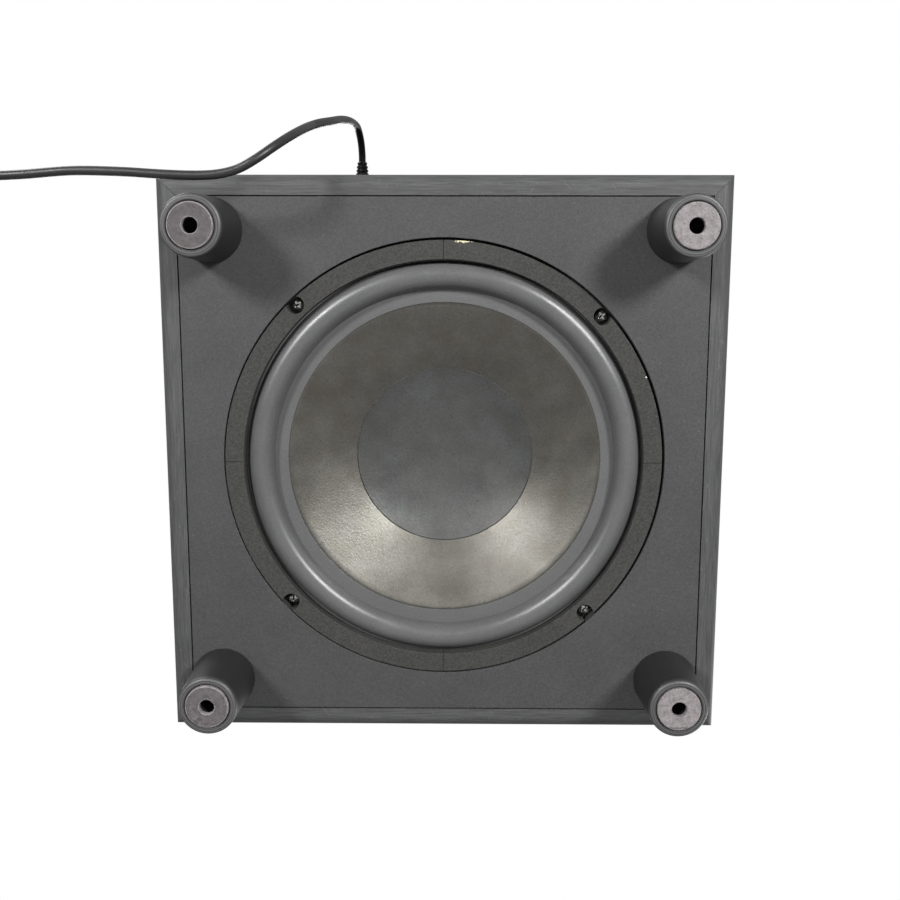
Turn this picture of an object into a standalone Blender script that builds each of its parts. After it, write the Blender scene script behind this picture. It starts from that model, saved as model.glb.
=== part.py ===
"""Down-firing powered subwoofer, standing on its four feet: +Z up, front towards -Y, amplifier towards +Y.

The origin is on the floor, under the middle of the cabinet and what stands out of its back.
Every size and place below is in millimetres; the mesh makers turn them into metres.
A driver depth is measured into the cabinet from the baffle's outer face, and a rear depth
outwards from the rear panel's outer face.
"""

import math

import bmesh
import bpy
from mathutils import Matrix, Vector, geometry

MM = 0.001
GAP = 0.3

# Cabinet
CABINET_WIDTH = 331.0
CABINET_HEIGHT = 360.0
WALL = 12.0
EDGE_RADIUS = 8.5
EDGE_STEPS = 5
SHADOW_GAP = 0.8
BOARD_THICK = 18.0
FRAME_WIDTH = 20.0
HALF = CABINET_WIDTH / 2
BOARD_HALF = HALF - WALL - SHADOW_GAP

# Feet
FOOT_HEIGHT = 46.0
FOOT_PLACE = 134.0
FOOT_TIP_RADIUS = 17.0
FOOT_BASE_RADIUS = 18.7
PAD_RADIUS = 12.5
PAD_HOLE_RADIUS = 4.3

# Rear parts, and so where the cabinet's middle comes
REAR_DEPTH = 19.0
CABINET_Y = -REAR_DEPTH / 2
REAR_Y = CABINET_Y + HALF
BAFFLE_Z = FOOT_HEIGHT

# Driver
SEAT_RADIUS = 130.0
SEAT_DEPTH = 11.8
DRIVER_HOLE_RADIUS = 119.3
RING_OUTER = 129.2
RING_INNER = 117.5
RING_THICK = 7.9
BOLT_CIRCLE_RADIUS = 125.5
BOLT_TURN = 2.0
ROLL_RADIUS = 7.4
ROLL_CENTRE = 109.0
ROLL_FOOT_DEPTH = 9.2
SURROUND_THICK = 0.9
LANDING_RADIUS = 93.0
CONE_EDGE_DEPTH = 11.2
CONE_SLOPE = 0.41
CONE_THICK = 1.0
NECK_RADIUS = 20.6
CAP_RADIUS = 53.2
CAP_SAG = 9.0
DRIVER_SEGMENTS = 48
MOTOR_SEGMENTS = 28
FOOT_SEGMENTS = 20

# Amplifier plate and what it carries: (x, height above the baffle)
PLATE_HALF_WIDTH = 100.0
PLATE_LOW = 50.0
PLATE_HIGH = 310.0
PLATE_BACK = 1.5
PLATE_FACE = 3.5
OPENING_MARGIN = 8.0
VOLUME_PLACE = (25.0, 190.0)
CROSSOVER_PLACE = (-25.0, 190.0)
PHASE_PLACE = (-68.0, 190.0)
LED_PLACE = (-60.0, 158.0)
SWITCH_PLACE = (-60.0, 130.0)
FUSE_PLACE = (-60.0, 95.0)
JACK_PLACE = (0.0, 135.0)
CORD_PLACE = (62.0, 170.0)
ROCKER_TILT = 9.0

# Mains cord
CORD_RADIUS = 2.5
CORD_POINTS = 60
RELIEF_END = 26.0
COIL_CENTRE = (286.0, 112.6)
COIL_INNER = 19.3
COIL_OUTER = 39.9
COIL_HEIGHT = 10.2
OUTER_TURN = 37.2
TURN_LEVEL = 7.55
CORD_ROUTE = (
    (62.0, 182.3, 216.0),
    (62.0, 187.6, 215.6),
    (62.3, 194.6, 212.8),
    (62.9, 200.2, 207.6),
    (63.6, 203.8, 199.8),
    (64.4, 204.6, 188.0),
    (65.8, 203.0, 163.0),
    (68.0, 199.0, 133.0),
    (70.8, 193.4, 103.0),
    (74.0, 187.4, 72.0),
    (77.8, 180.8, 45.0),
    (83.0, 173.2, 22.5),
    (90.0, 165.6, 8.6),
    (98.4, 158.8, 3.0),
    (108.0, 153.6, 2.5),
    (119.0, 150.9, 2.5),
    (132.0, 150.3, 2.5),
    (149.0, 150.9, 2.5),
    (171.0, 152.2, 2.5),
    (196.0, 152.6, 2.5),
    (222.0, 150.7, 2.5),
    (245.0, 149.8, 2.5),
    (265.5, 149.8, 2.5),
)

# Colour, roughness and metallic value of each finish
FINISHES = {
    "vinyl_wrap": ((0.105, 0.105, 0.112), 0.55, 0.0),
    "painted_board": ((0.095, 0.093, 0.102), 0.65, 0.0),
    "raw_board": ((0.42, 0.30, 0.19), 0.85, 0.0),
    "foot_plastic": ((0.020, 0.020, 0.022), 0.40, 0.0),
    "foot_rubber": ((0.24, 0.22, 0.22), 0.85, 0.0),
    "ring_board": ((0.075, 0.075, 0.075), 0.80, 0.0),
    "surround_rubber": ((0.135, 0.135, 0.14), 0.40, 0.0),
    "cone_coating": ((0.20, 0.20, 0.19), 0.35, 0.6),
    "black_steel": ((0.03, 0.03, 0.03), 0.50, 0.4),
    "zinc_steel": ((0.55, 0.56, 0.57), 0.35, 1.0),
    "copper": ((0.72, 0.32, 0.14), 0.35, 1.0),
    "former_film": ((0.45, 0.25, 0.08), 0.45, 0.0),
    "spider_cloth": ((0.55, 0.42, 0.20), 0.90, 0.0),
    "ferrite": ((0.06, 0.06, 0.065), 0.70, 0.0),
    "black_plastic": ((0.018, 0.018, 0.019), 0.45, 0.0),
    "plate_paint": ((0.025, 0.025, 0.026), 0.50, 0.3),
    "board_laminate": ((0.02, 0.16, 0.06), 0.50, 0.0),
    "foam": ((0.04, 0.04, 0.04), 0.95, 0.0),
    "wadding": ((0.75, 0.75, 0.73), 0.95, 0.0),
    "nickel": ((0.75, 0.73, 0.68), 0.25, 1.0),
    "led_lens": ((0.05, 0.45, 0.10), 0.20, 0.0),
    "cord_rubber": ((0.02, 0.02, 0.02), 0.50, 0.0),
    "tie_plastic": ((0.03, 0.03, 0.03), 0.50, 0.0),
}


def clear_scene():
    for item in list(bpy.data.objects):
        bpy.data.objects.remove(item)


def finish(name):
    """The material of that name, made the first time it is asked for."""
    if name in bpy.data.materials:
        return bpy.data.materials[name]
    colour, roughness, metallic = FINISHES[name]
    material = bpy.data.materials.new(name)
    material.use_nodes = True
    shader = material.node_tree.nodes["Principled BSDF"]
    shader.inputs["Base Color"].default_value = (*colour, 1.0)
    shader.inputs["Roughness"].default_value = roughness
    shader.inputs["Metallic"].default_value = metallic
    return material


def add(name, shape, material, place=(0.0, 0.0, 0.0), turn=(0.0, 0.0, 0.0), parent=None):
    """Closes a bmesh into an object, with its faces pointing out and its curved faces smooth."""
    bmesh.ops.recalc_face_normals(shape, faces=shape.faces)
    mesh = bpy.data.meshes.new(name)
    shape.to_mesh(mesh)
    shape.free()
    mesh.shade_smooth()
    mesh.set_sharp_from_angle(angle=math.radians(35))
    item = bpy.data.objects.new(name, mesh)
    item.location = Vector(place) * MM
    item.rotation_euler = [math.radians(angle) for angle in turn]
    item.parent = parent
    bpy.context.scene.collection.objects.link(item)
    if material:
        mesh.materials.append(finish(material))
    return item


def empty(name, place=(0.0, 0.0, 0.0)):
    item = bpy.data.objects.new(name, None)
    item.location = Vector(place) * MM
    bpy.context.scene.collection.objects.link(item)
    return item


def prism(outline, low, high, axis="Z"):
    """A bmesh of the outline, extruded from low to high along the axis.

    The outline's pairs are (x, y) for Z, (x, z) for Y and (y, z) for X.
    """
    shape = bmesh.new()
    ends = []
    for level in (low, high):
        places = {
            "Z": [(a, b, level) for a, b in outline],
            "Y": [(a, level, b) for a, b in outline],
            "X": [(level, a, b) for a, b in outline],
        }[axis]
        ends.append([shape.verts.new(Vector(place) * MM) for place in places])
    bottom, top = ends
    shape.faces.new(bottom)
    shape.faces.new(top)
    for index in range(len(outline)):
        after = (index + 1) % len(outline)
        shape.faces.new((bottom[index], bottom[after], top[after], top[index]))
    return shape


def rectangle(low, high):
    return [low, (high[0], low[1]), high, (low[0], high[1])]


def block(low, high):
    """A bmesh box between two corners."""
    return prism(rectangle(low[:2], high[:2]), low[2], high[2])


def turned(profile, segments, start=0.0, sweep=360.0):
    """A bmesh turned about Z from a closed profile of (radius, height), over all or part of a turn."""
    shape = bmesh.new()
    whole = sweep >= 360.0
    columns = segments if whole else segments + 1
    rings = []
    for radius, height in profile:
        if radius < GAP / 10:
            rings.append([shape.verts.new((0.0, 0.0, height * MM))])
            continue
        ring = []
        for column in range(columns):
            angle = math.radians(start + sweep * column / segments)
            spot = Vector((radius * math.cos(angle), radius * math.sin(angle), height))
            ring.append(shape.verts.new(spot * MM))
        rings.append(ring)
    for index, ring in enumerate(rings):
        following = rings[(index + 1) % len(rings)]
        if len(ring) == 1 and len(following) == 1:
            continue
        for column in range(segments):
            after = (column + 1) % columns
            corners = []
            for line, at in ((ring, column), (ring, after), (following, after), (following, column)):
                vertex = line[at % len(line)]
                if vertex not in corners:
                    corners.append(vertex)
            shape.faces.new(corners)
    if not whole:
        shape.faces.new([ring[0] for ring in rings])
        shape.faces.new([ring[-1] for ring in rings])
    return shape


def bars(places, radius, low, high, axis="Z", segments=14):
    """One bmesh that holds a round bar along the axis at each (a, b) place."""
    shape = bmesh.new()
    for place in places:
        outline = []
        for step in range(segments):
            angle = 2 * math.pi * step / segments
            outline.append((place[0] + radius * math.cos(angle), place[1] + radius * math.sin(angle)))
        join_shape(shape, prism(outline, low, high, axis))
    return shape


def join_shape(shape, other):
    """Copies the other bmesh into shape, and frees it."""
    mesh = bpy.data.meshes.new("joined")
    other.to_mesh(mesh)
    other.free()
    shape.from_mesh(mesh)
    bpy.data.meshes.remove(mesh)


def boolean(item, shape, operation, name):
    """Cuts the bmesh from the item, or joins it on, with a Boolean modifier."""
    helper = add(f"{item.name}_{name}", shape, None, parent=None)
    helper.location = item.location
    helper.rotation_euler = item.rotation_euler
    helper.parent = item.parent
    helper.hide_render = True
    helper.display_type = "WIRE"
    modifier = item.modifiers.new(name, "BOOLEAN")
    modifier.operation = operation
    modifier.object = helper
    modifier.solver = "EXACT"


def bevel(item, width, segments=2, angle=30.0):
    modifier = item.modifiers.new("bevel", "BEVEL")
    modifier.width = width * MM
    modifier.segments = segments
    modifier.limit_method = "ANGLE"
    modifier.angle_limit = math.radians(angle)


def arc(centre, radius, start, end, steps):
    """Points on an arc from one angle to another, in degrees, both ends included."""
    points = []
    for step in range(steps + 1):
        angle = math.radians(start + (end - start) * step / steps)
        points.append((centre[0] + radius * math.cos(angle), centre[1] + radius * math.sin(angle)))
    return points


def band(line, thick):
    """A closed profile: the line, then the same line moved by thick along the second axis."""
    return list(line) + [(a, b + thick) for a, b in reversed(line)]


# ---------------------------------------------------------------- cabinet


def mitred_panel(name, turn, parent):
    """A side wall, rounded along its top and bottom outer edges and mitred at both ends."""
    low = arc((EDGE_RADIUS, EDGE_RADIUS), EDGE_RADIUS, 270.0, 180.0, EDGE_STEPS)
    high = [(depth, CABINET_HEIGHT - height) for depth, height in reversed(low)]
    outline = [(WALL, 0.0), *low, *high, (WALL, CABINET_HEIGHT)]
    shape = bmesh.new()
    ends = []
    for side in (-1, 1):
        end = []
        for depth, height in outline:
            reach = HALF - depth - GAP / 2
            end.append(shape.verts.new(Vector((side * reach, depth - HALF, height)) * MM))
        shape.faces.new(end)
        ends.append(end)
    for index in range(len(outline)):
        after = (index + 1) % len(outline)
        shape.faces.new((ends[0][index], ends[0][after], ends[1][after], ends[1][index]))
    return add(name, shape, "vinyl_wrap", (0.0, CABINET_Y, BAFFLE_Z), (0.0, 0.0, turn), parent)


def square_frame(outer, inner, low, high):
    """A bmesh of four bars, mitred into one square ring."""
    shape = bmesh.new()
    loops = []
    for half, level in ((outer, low), (inner, low), (inner, high), (outer, high)):
        corners = rectangle((-half, -half), (half, half))
        loops.append([shape.verts.new(Vector((x, y, level)) * MM) for x, y in corners])
    for index, loop in enumerate(loops):
        following = loops[(index + 1) % len(loops)]
        for corner in range(4):
            after = (corner + 1) % 4
            shape.faces.new((loop[corner], loop[after], following[after], following[corner]))
    return shape


def bolt_places():
    places = []
    for quarter in range(4):
        angle = math.radians(45.0 + BOLT_TURN + 90.0 * quarter)
        places.append((BOLT_CIRCLE_RADIUS * math.cos(angle), BOLT_CIRCLE_RADIUS * math.sin(angle)))
    return places


def foot_places():
    return {
        "front_left": (-FOOT_PLACE, -FOOT_PLACE),
        "front_right": (FOOT_PLACE, -FOOT_PLACE),
        "rear_right": (FOOT_PLACE, FOOT_PLACE),
        "rear_left": (-FOOT_PLACE, FOOT_PLACE),
    }


def make_cabinet(parent):
    base = (0.0, CABINET_Y, BAFFLE_Z)
    mitred_panel("front_panel", 0.0, parent)
    mitred_panel("right_panel", 90.0, parent)
    rear = mitred_panel("rear_panel", 180.0, parent)
    mitred_panel("left_panel", -90.0, parent)
    opening_half = PLATE_HALF_WIDTH - OPENING_MARGIN
    opening = block(
        (-opening_half, -HALF - WALL, PLATE_LOW + OPENING_MARGIN),
        (opening_half, 2 * WALL - HALF, PLATE_HIGH - OPENING_MARGIN),
    )
    boolean(rear, opening, "DIFFERENCE", "amplifier_opening")

    board = rectangle((-BOARD_HALF, -BOARD_HALF), (BOARD_HALF, BOARD_HALF))
    baffle = add("bottom_baffle", prism(board, 0.0, BOARD_THICK), "painted_board", base, parent=parent)
    seat = [
        (0.0, -5.0),
        (SEAT_RADIUS, -5.0),
        (SEAT_RADIUS, SEAT_DEPTH),
        (DRIVER_HOLE_RADIUS, SEAT_DEPTH),
        (DRIVER_HOLE_RADIUS, BOARD_THICK + 5.0),
        (0.0, BOARD_THICK + 5.0),
    ]
    boolean(baffle, turned(seat, DRIVER_SEGMENTS), "DIFFERENCE", "driver_seat")
    pilots = bars(bolt_places(), 2.4, SEAT_DEPTH - 3.0, BOARD_THICK + 5.0, segments=10)
    boolean(baffle, pilots, "DIFFERENCE", "driver_pilots")
    pilots = bars(foot_places().values(), 2.2, -5.0, BOARD_THICK - 4.0, segments=10)
    boolean(baffle, pilots, "DIFFERENCE", "foot_pilots")

    top = prism(board, CABINET_HEIGHT - WALL, CABINET_HEIGHT)
    add("top_panel", top, "vinyl_wrap", base, parent=parent)
    frame_outer = HALF - WALL - GAP
    frame = square_frame(
        frame_outer, frame_outer - FRAME_WIDTH, BOARD_THICK + GAP, BOARD_THICK + FRAME_WIDTH
    )
    add("baffle_frame", frame, "raw_board", base, parent=parent)
    wadding_top = CABINET_HEIGHT - WALL - GAP
    wadding = block((-140.0, -145.0, wadding_top - 25.0), (140.0, 100.0, wadding_top))
    bevel(add("acoustic_wadding", wadding, "wadding", base, parent=parent), 6.0)


def make_feet(parent):
    body = [
        (13.1, 1.0),
        *arc((FOOT_TIP_RADIUS - 2.0, 3.0), 2.0, 270.0, 360.0, 2),
        (FOOT_BASE_RADIUS, FOOT_HEIGHT - GAP),
        (2.4, FOOT_HEIGHT - GAP),
        (2.4, 34.0),
        (5.0, 34.0),
        (5.0, 3.4),
        (13.1, 3.4),
    ]
    pad = [
        (PAD_HOLE_RADIUS, 0.0),
        (PAD_RADIUS - 0.6, 0.0),
        (PAD_RADIUS, 0.6),
        (PAD_RADIUS, 3.1),
        (PAD_HOLE_RADIUS, 3.1),
    ]
    for corner, (x, y) in foot_places().items():
        place = (x, y + CABINET_Y, 0.0)
        add(f"foot_{corner}", turned(body, FOOT_SEGMENTS), "foot_plastic", place, parent=parent)
        add(f"foot_pad_{corner}", turned(pad, FOOT_SEGMENTS), "foot_rubber", place, parent=parent)


# ---------------------------------------------------------------- driver


def cone_depth(radius):
    """Depth of the cone's front face."""
    return CONE_EDGE_DEPTH + CONE_SLOPE * (LANDING_RADIUS - radius)


def make_driver_frame(parent):
    place = (0.0, CABINET_Y, BAFFLE_Z)
    flange_face = ROLL_FOOT_DEPTH + GAP
    thick = 1.7
    basket_line = [
        (24.0, 79.8),
        (52.0, 79.8),
        (56.5, 77.5),
        (58.0, 60.0),
        (66.0, 60.0),
        (72.0, 57.0),
        (115.5, 24.0),
        (117.5, flange_face),
        (RING_OUTER - GAP, flange_face),
    ]
    back_line = [
        (RING_OUTER - GAP, flange_face + thick),
        (119.0, flange_face + thick),
        (117.3, 24.9),
        (73.0, 58.8),
        (66.6, 61.7),
        (59.6, 61.7),
        (58.2, 78.6),
        (52.6, 79.8 + thick),
        (24.0, 79.8 + thick),
    ]
    basket = add("driver_basket", turned(basket_line + back_line, 36), "black_steel", place, parent=parent)
    for window in range(6):
        opening = block((79.0, -20.0, 20.0), (110.0, 20.0, 62.0))
        turn = Matrix.Rotation(math.radians(30.0 + 60.0 * window), 3, "Z")
        bmesh.ops.rotate(opening, verts=opening.verts, matrix=turn)
        boolean(basket, opening, "DIFFERENCE", f"window_{window + 1}")
    holes = bars(bolt_places(), 2.4, flange_face - 2.0, flange_face + 4.0, segments=10)
    boolean(basket, holes, "DIFFERENCE", "bolt_holes")

    ring = rectangle((RING_INNER, 0.0), (RING_OUTER, RING_THICK))
    butt = math.degrees(GAP / 2 / RING_OUTER)
    for quarter, bolt in enumerate(bolt_places()):
        arc_shape = turned(ring, DRIVER_SEGMENTS // 4, 90.0 * quarter + butt, 90.0 - 2 * butt)
        name = f"gasket_segment_{quarter + 1}"
        segment = add(name, arc_shape, "ring_board", place, parent=parent)
        notch = bars([bolt], 5.0, -3.0, RING_THICK + 3.0, segments=14)
        boolean(segment, notch, "DIFFERENCE", "screw_notch")
        make_driver_screw(f"driver_screw_{quarter + 1}", bolt, flange_face, parent)

    strip = block((-12.0, 60.0, 64.0), (12.0, 66.0, 76.0))
    bevel(add("terminal_strip", strip, "former_film", place, parent=parent), 0.8, 1)


def make_driver_screw(name, bolt, flange_face, parent):
    """A pan-head wood screw, pointing into the baffle, with a cross recess in its head."""
    profile = [
        (0.0, -2.7),
        (1.8, -2.6),
        (3.2, -2.1),
        (3.9, -1.2),
        (4.0, 0.0),
        (2.0, 0.0),
        (2.0, 13.0),
        (0.0, 16.0),
    ]
    place = (bolt[0], bolt[1] + CABINET_Y, BAFFLE_Z + flange_face - GAP)
    screw = add(name, turned(profile, 14), "zinc_steel", place, parent=parent)
    reach, half_slot = 2.2, 0.5
    cross = [
        (reach, half_slot),
        (half_slot, half_slot),
        (half_slot, reach),
        (-half_slot, reach),
        (-half_slot, half_slot),
        (-reach, half_slot),
        (-reach, -half_slot),
        (-half_slot, -half_slot),
        (-half_slot, -reach),
        (half_slot, -reach),
        (half_slot, -half_slot),
        (reach, -half_slot),
    ]
    boolean(screw, prism(cross, -4.0, -1.3), "DIFFERENCE", "cross_recess")


def make_suspension(parent):
    """The rubber surround and the corrugated spider, which stretch as the cone travels."""
    place = (0.0, CABINET_Y, BAFFLE_Z)
    half = SURROUND_THICK / 2
    foot = ROLL_FOOT_DEPTH - half
    outer_skin = arc((ROLL_CENTRE, foot), ROLL_RADIUS + half, 0.0, -180.0, 7)
    inner_skin = arc((ROLL_CENTRE, foot), ROLL_RADIUS - half, -180.0, 0.0, 7)
    landing_inner = LANDING_RADIUS + 0.2
    profile = [
        (121.0, foot - half),
        *outer_skin,
        (landing_inner, foot + 0.5),
        (landing_inner, foot + 0.5 + SURROUND_THICK),
        *inner_skin,
        (121.0, ROLL_FOOT_DEPTH),
    ]
    add("surround", turned(profile, DRIVER_SEGMENTS), "surround_rubber", place, parent=parent)

    level, swing = 58.0, 1.6
    spider_line = [(20.4, level)]
    for fold in range(6):
        spider_line.append((25.5 + 5.5 * fold, level + (swing if fold % 2 else -swing)))
    spider_line.append((57.0, level))
    spider_line.append((65.4, level + 1.0))
    add("spider", turned(band(spider_line, 0.6), MOTOR_SEGMENTS), "spider_cloth", place, parent=parent)


def make_cone_assembly(parent):
    """The cone, its dust cap and the voice coil on its former, which travel together."""
    rim = LANDING_RADIUS + 7.3
    front = [
        (NECK_RADIUS, cone_depth(NECK_RADIUS)),
        (LANDING_RADIUS, cone_depth(LANDING_RADIUS)),
        (rim, CONE_EDGE_DEPTH),
    ]
    cone = turned(band(front, CONE_THICK), DRIVER_SEGMENTS)
    add("cone", cone, "cone_coating", parent=parent)

    edge = cone_depth(CAP_RADIUS) - GAP - 0.8
    dish = []
    steps = 4
    for step in range(steps + 1):
        share = step / steps
        dish.append((CAP_RADIUS * share, edge + CAP_SAG * (1 - share**2)))
    add("dust_cap", turned(band(dish, 0.8), DRIVER_SEGMENTS), "cone_coating", parent=parent)

    former = rectangle((19.2, 38.0), (20.0, 100.0))
    add("voice_coil_former", turned(former, MOTOR_SEGMENTS), "former_film", parent=parent)
    coil = rectangle((20.3, 83.0), (21.4, 99.0))
    add("voice_coil", turned(coil, MOTOR_SEGMENTS), "copper", parent=parent)


def make_motor(parent):
    place = (0.0, CABINET_Y, BAFFLE_Z)
    top_plate = rectangle((22.0, 81.8), (55.0, 89.8))
    add("top_plate", turned(top_plate, MOTOR_SEGMENTS), "zinc_steel", place, parent=parent)
    magnet = rectangle((28.0, 90.1), (60.0, 110.0))
    add("magnet", turned(magnet, MOTOR_SEGMENTS), "ferrite", place, parent=parent)
    yoke = [
        (5.0, 82.0),
        (18.5, 82.0),
        (18.5, 110.3),
        (55.0, 110.3),
        (55.0, 118.0),
        (5.0, 118.0),
    ]
    add("back_plate", turned(yoke, MOTOR_SEGMENTS), "zinc_steel", place, parent=parent)


# ---------------------------------------------------------------- amplifier


def rear_place(spot, depth=0.0):
    """A point on the rear side: the spot's x and height above the baffle, and a rear depth."""
    return (spot[0], REAR_Y + depth, BAFFLE_Z + spot[1])


def rear_box(spot, half_width, half_height, inner, outer):
    """A bmesh box about a spot on the amplifier plate, between two rear depths."""
    x, y, z = rear_place(spot)
    return block(
        (x - half_width, y + inner, z - half_height), (x + half_width, y + outer, z + half_height)
    )


def rear_turned(name, profile, material, spot, parent, segments=24):
    """A piece turned about a rearward axis, from a profile of (radius, rear depth)."""
    return add(name, turned(profile, segments), material, rear_place(spot), (-90.0, 0.0, 0.0), parent)


def make_plate(parent):
    middle = (0.0, (PLATE_LOW + PLATE_HIGH) / 2)
    half_height = (PLATE_HIGH - PLATE_LOW) / 2
    seal = rear_box(middle, PLATE_HALF_WIDTH - 2.0, half_height - 2.0, GAP, PLATE_BACK - GAP)
    seal_item = add("amp_gasket", seal, "foam", parent=parent)
    inner_half_width = PLATE_HALF_WIDTH - OPENING_MARGIN
    hole = rear_box(middle, inner_half_width, half_height - OPENING_MARGIN, -2.0, 5.0)
    boolean(seal_item, hole, "DIFFERENCE", "middle")

    plate = rear_box(middle, PLATE_HALF_WIDTH, half_height, PLATE_BACK, PLATE_FACE)
    item = add("amp_plate", plate, "plate_paint", parent=parent)
    holes = bmesh.new()
    round_holes = (
        (VOLUME_PLACE, 3.9),
        (CROSSOVER_PLACE, 3.9),
        (LED_PLACE, 2.8),
        (FUSE_PLACE, 5.9),
        (CORD_PLACE, 5.6),
    )
    for spot, radius in round_holes:
        place = [(spot[0], BAFFLE_Z + spot[1])]
        join_shape(holes, bars(place, radius, REAR_Y - 3.0, REAR_Y + 8.0, "Y"))
    square_holes = ((PHASE_PLACE, 5.4, 2.9), (SWITCH_PLACE, 6.4, 13.9), (JACK_PLACE, 18.4, 7.4))
    for spot, half_width, half_height in square_holes:
        join_shape(holes, rear_box(spot, half_width, half_height, -3.0, 8.0))
    boolean(item, holes, "DIFFERENCE", "control_holes")


def make_heatsink(parent):
    low, high, half_width = 218.0, 304.0, 78.0
    base_face, fin_half, fins = 3.2, 0.9, 15
    back = REAR_Y + PLATE_FACE + GAP
    outline = [(-half_width, back), (half_width, back)]
    pitch = 2 * (half_width - fin_half) / (fins - 1)
    for fin in range(fins - 1, -1, -1):
        middle = -half_width + fin_half + pitch * fin
        right, left = middle + fin_half, middle - fin_half
        if fin < fins - 1:
            outline.append((right, back + base_face))
        outline.append((right, REAR_Y + REAR_DEPTH))
        outline.append((left, REAR_Y + REAR_DEPTH))
        if fin > 0:
            outline.append((left, back + base_face))
    shape = prism(outline, BAFFLE_Z + low, BAFFLE_Z + high)
    add("heatsink", shape, "plate_paint", parent=parent)


def make_controls(parent, volume_parent, crossover_parent):
    pot = [
        (0.0, -9.0),
        (8.0, -9.0),
        (8.0, PLATE_BACK - GAP),
        (3.5, PLATE_BACK - GAP),
        (3.5, 7.0),
        (3.0, 7.0),
        (3.0, 13.0),
        (0.0, 13.0),
    ]
    knob = [
        (3.8, 4.6),
        (10.0, 4.6),
        (10.0, 7.0),
        (9.0, 8.2),
        (8.6, 16.9),
        (7.5, 18.0),
        (0.0, 18.0),
        (0.0, 13.6),
        (3.8, 13.6),
    ]
    rear_turned("volume_pot", pot, "zinc_steel", VOLUME_PLACE, parent, 14)
    rear_turned("crossover_pot", pot, "zinc_steel", CROSSOVER_PLACE, parent, 14)
    for name, owner in (("volume_knob", volume_parent), ("crossover_knob", crossover_parent)):
        add(name, turned(knob, 16), "black_plastic", turn=(-90.0, 0.0, 0.0), parent=owner)

    led = [(0.0, -3.0), (2.5, -3.0), (2.5, 4.0), *arc((0.0, 4.0), 2.4, 0.0, 90.0, 4)]
    led[-1] = (0.0, led[-1][1])
    rear_turned("power_led", led, "led_lens", LED_PLACE, parent, 12)
    cap = [
        (0.0, -18.0),
        (5.5, -18.0),
        (5.5, PLATE_FACE + GAP),
        (6.6, PLATE_FACE + GAP),
        (6.6, 8.2),
        (6.0, 8.8),
        (0.0, 8.8),
    ]
    fuse = rear_turned("fuse_cap", cap, "black_plastic", FUSE_PLACE, parent, 14)
    slot = block((-4.2, -0.6, 7.6), (4.2, 0.6, 12.0))
    boolean(fuse, slot, "DIFFERENCE", "coin_slot")


def make_phase_switch(parent, slider_parent):
    """A slide switch: its body behind the plate, and a small slider in a window in its face."""
    body = rear_box(PHASE_PLACE, 9.0, 5.0, -8.0, PLATE_BACK - GAP)
    item = add("phase_switch", body, "zinc_steel", parent=parent)
    window = rear_box(PHASE_PLACE, 5.4, 2.9, -2.0, 6.0)
    boolean(item, window, "DIFFERENCE", "window")
    slider = block((-2.4, -1.6, -2.4), (2.4, 5.6, 2.4))
    bevel(add("phase_slider", slider, "black_plastic", parent=slider_parent), 0.4, 1)


def make_power_switch(parent, rocker_parent):
    body = rear_box(SWITCH_PLACE, 6.1, 13.6, -14.0, PLATE_FACE)
    item = add("power_switch", body, "black_plastic", parent=parent)
    flange = rear_box(SWITCH_PLACE, 7.8, 15.6, PLATE_FACE + GAP, 6.0)
    lip = rear_box(SWITCH_PLACE, 6.1, 13.6, 2.0, 5.0)
    boolean(item, lip, "UNION", "lip")
    boolean(item, flange, "UNION", "flange")
    well = rear_box(SWITCH_PLACE, 5.2, 12.2, -6.0, 10.0)
    boolean(item, well, "DIFFERENCE", "well")

    outline = [(-3.5, -11.0), (3.2, -11.0), (2.0, 0.0), (3.2, 11.0), (-3.5, 11.0)]
    rocker = prism(outline, -4.8, 4.8, "X")
    tilt = Matrix.Rotation(math.radians(ROCKER_TILT), 3, "X")
    bmesh.ops.rotate(rocker, verts=rocker.verts, matrix=tilt)
    bevel(add("power_rocker", rocker, "black_plastic", parent=rocker_parent), 0.5, 1, 20.0)


def make_line_jacks(parent):
    body = rear_box(JACK_PLACE, 18.0, 7.0, -14.0, 5.0)
    item = add("line_jacks", body, "black_plastic", parent=parent)
    face = rear_box(JACK_PLACE, 21.0, 10.0, PLATE_FACE + GAP, 5.6)
    boolean(item, face, "UNION", "face")
    barrel = [(1.7, 5.9), (4.2, 5.9), (4.2, 14.0), (1.7, 14.0)]
    for name, offset in (("line_jack_left", 9.5), ("line_jack_right", -9.5)):
        spot = (JACK_PLACE[0] + offset, JACK_PLACE[1])
        rear_turned(name, barrel, "nickel", spot, parent, 14)


def make_electronics(parent):
    board_face = -22.4
    board = rear_box((-44.0, 180.0), 44.0, 110.0, board_face - 1.6, board_face)
    add("circuit_board", board, "board_laminate", parent=parent)
    can = [(0.0, -74.3), (16.5, -74.3), (17.5, -73.3), (17.5, -24.3), (0.0, -24.3)]
    rear_turned("capacitor", can, "black_plastic", (-50.0, 235.0), parent)
    ring = [(16.0, -42.0), (40.0, -42.0), (42.0, -39.0), (42.0, -7.0), (40.0, -4.0), (16.0, -4.0)]
    rear_turned("transformer", ring, "copper", (46.0, 255.0), parent, 24)
    lead = [
        Vector((-20.0, REAR_Y - 24.6, BAFFLE_Z + 100.0)),
        Vector((-19.8, REAR_Y - 34.0, BAFFLE_Z + 99.0)),
        Vector((-13.0, REAR_Y - 60.0, BAFFLE_Z + 84.0)),
        Vector((-2.0, CABINET_Y + 76.0, BAFFLE_Z + 71.0)),
        Vector((0.0, CABINET_Y + 66.8, BAFFLE_Z + 70.0)),
    ]
    tube("speaker_lead", smooth(lead, 14), 1.8, parent)


# ---------------------------------------------------------------- mains cord


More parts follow.
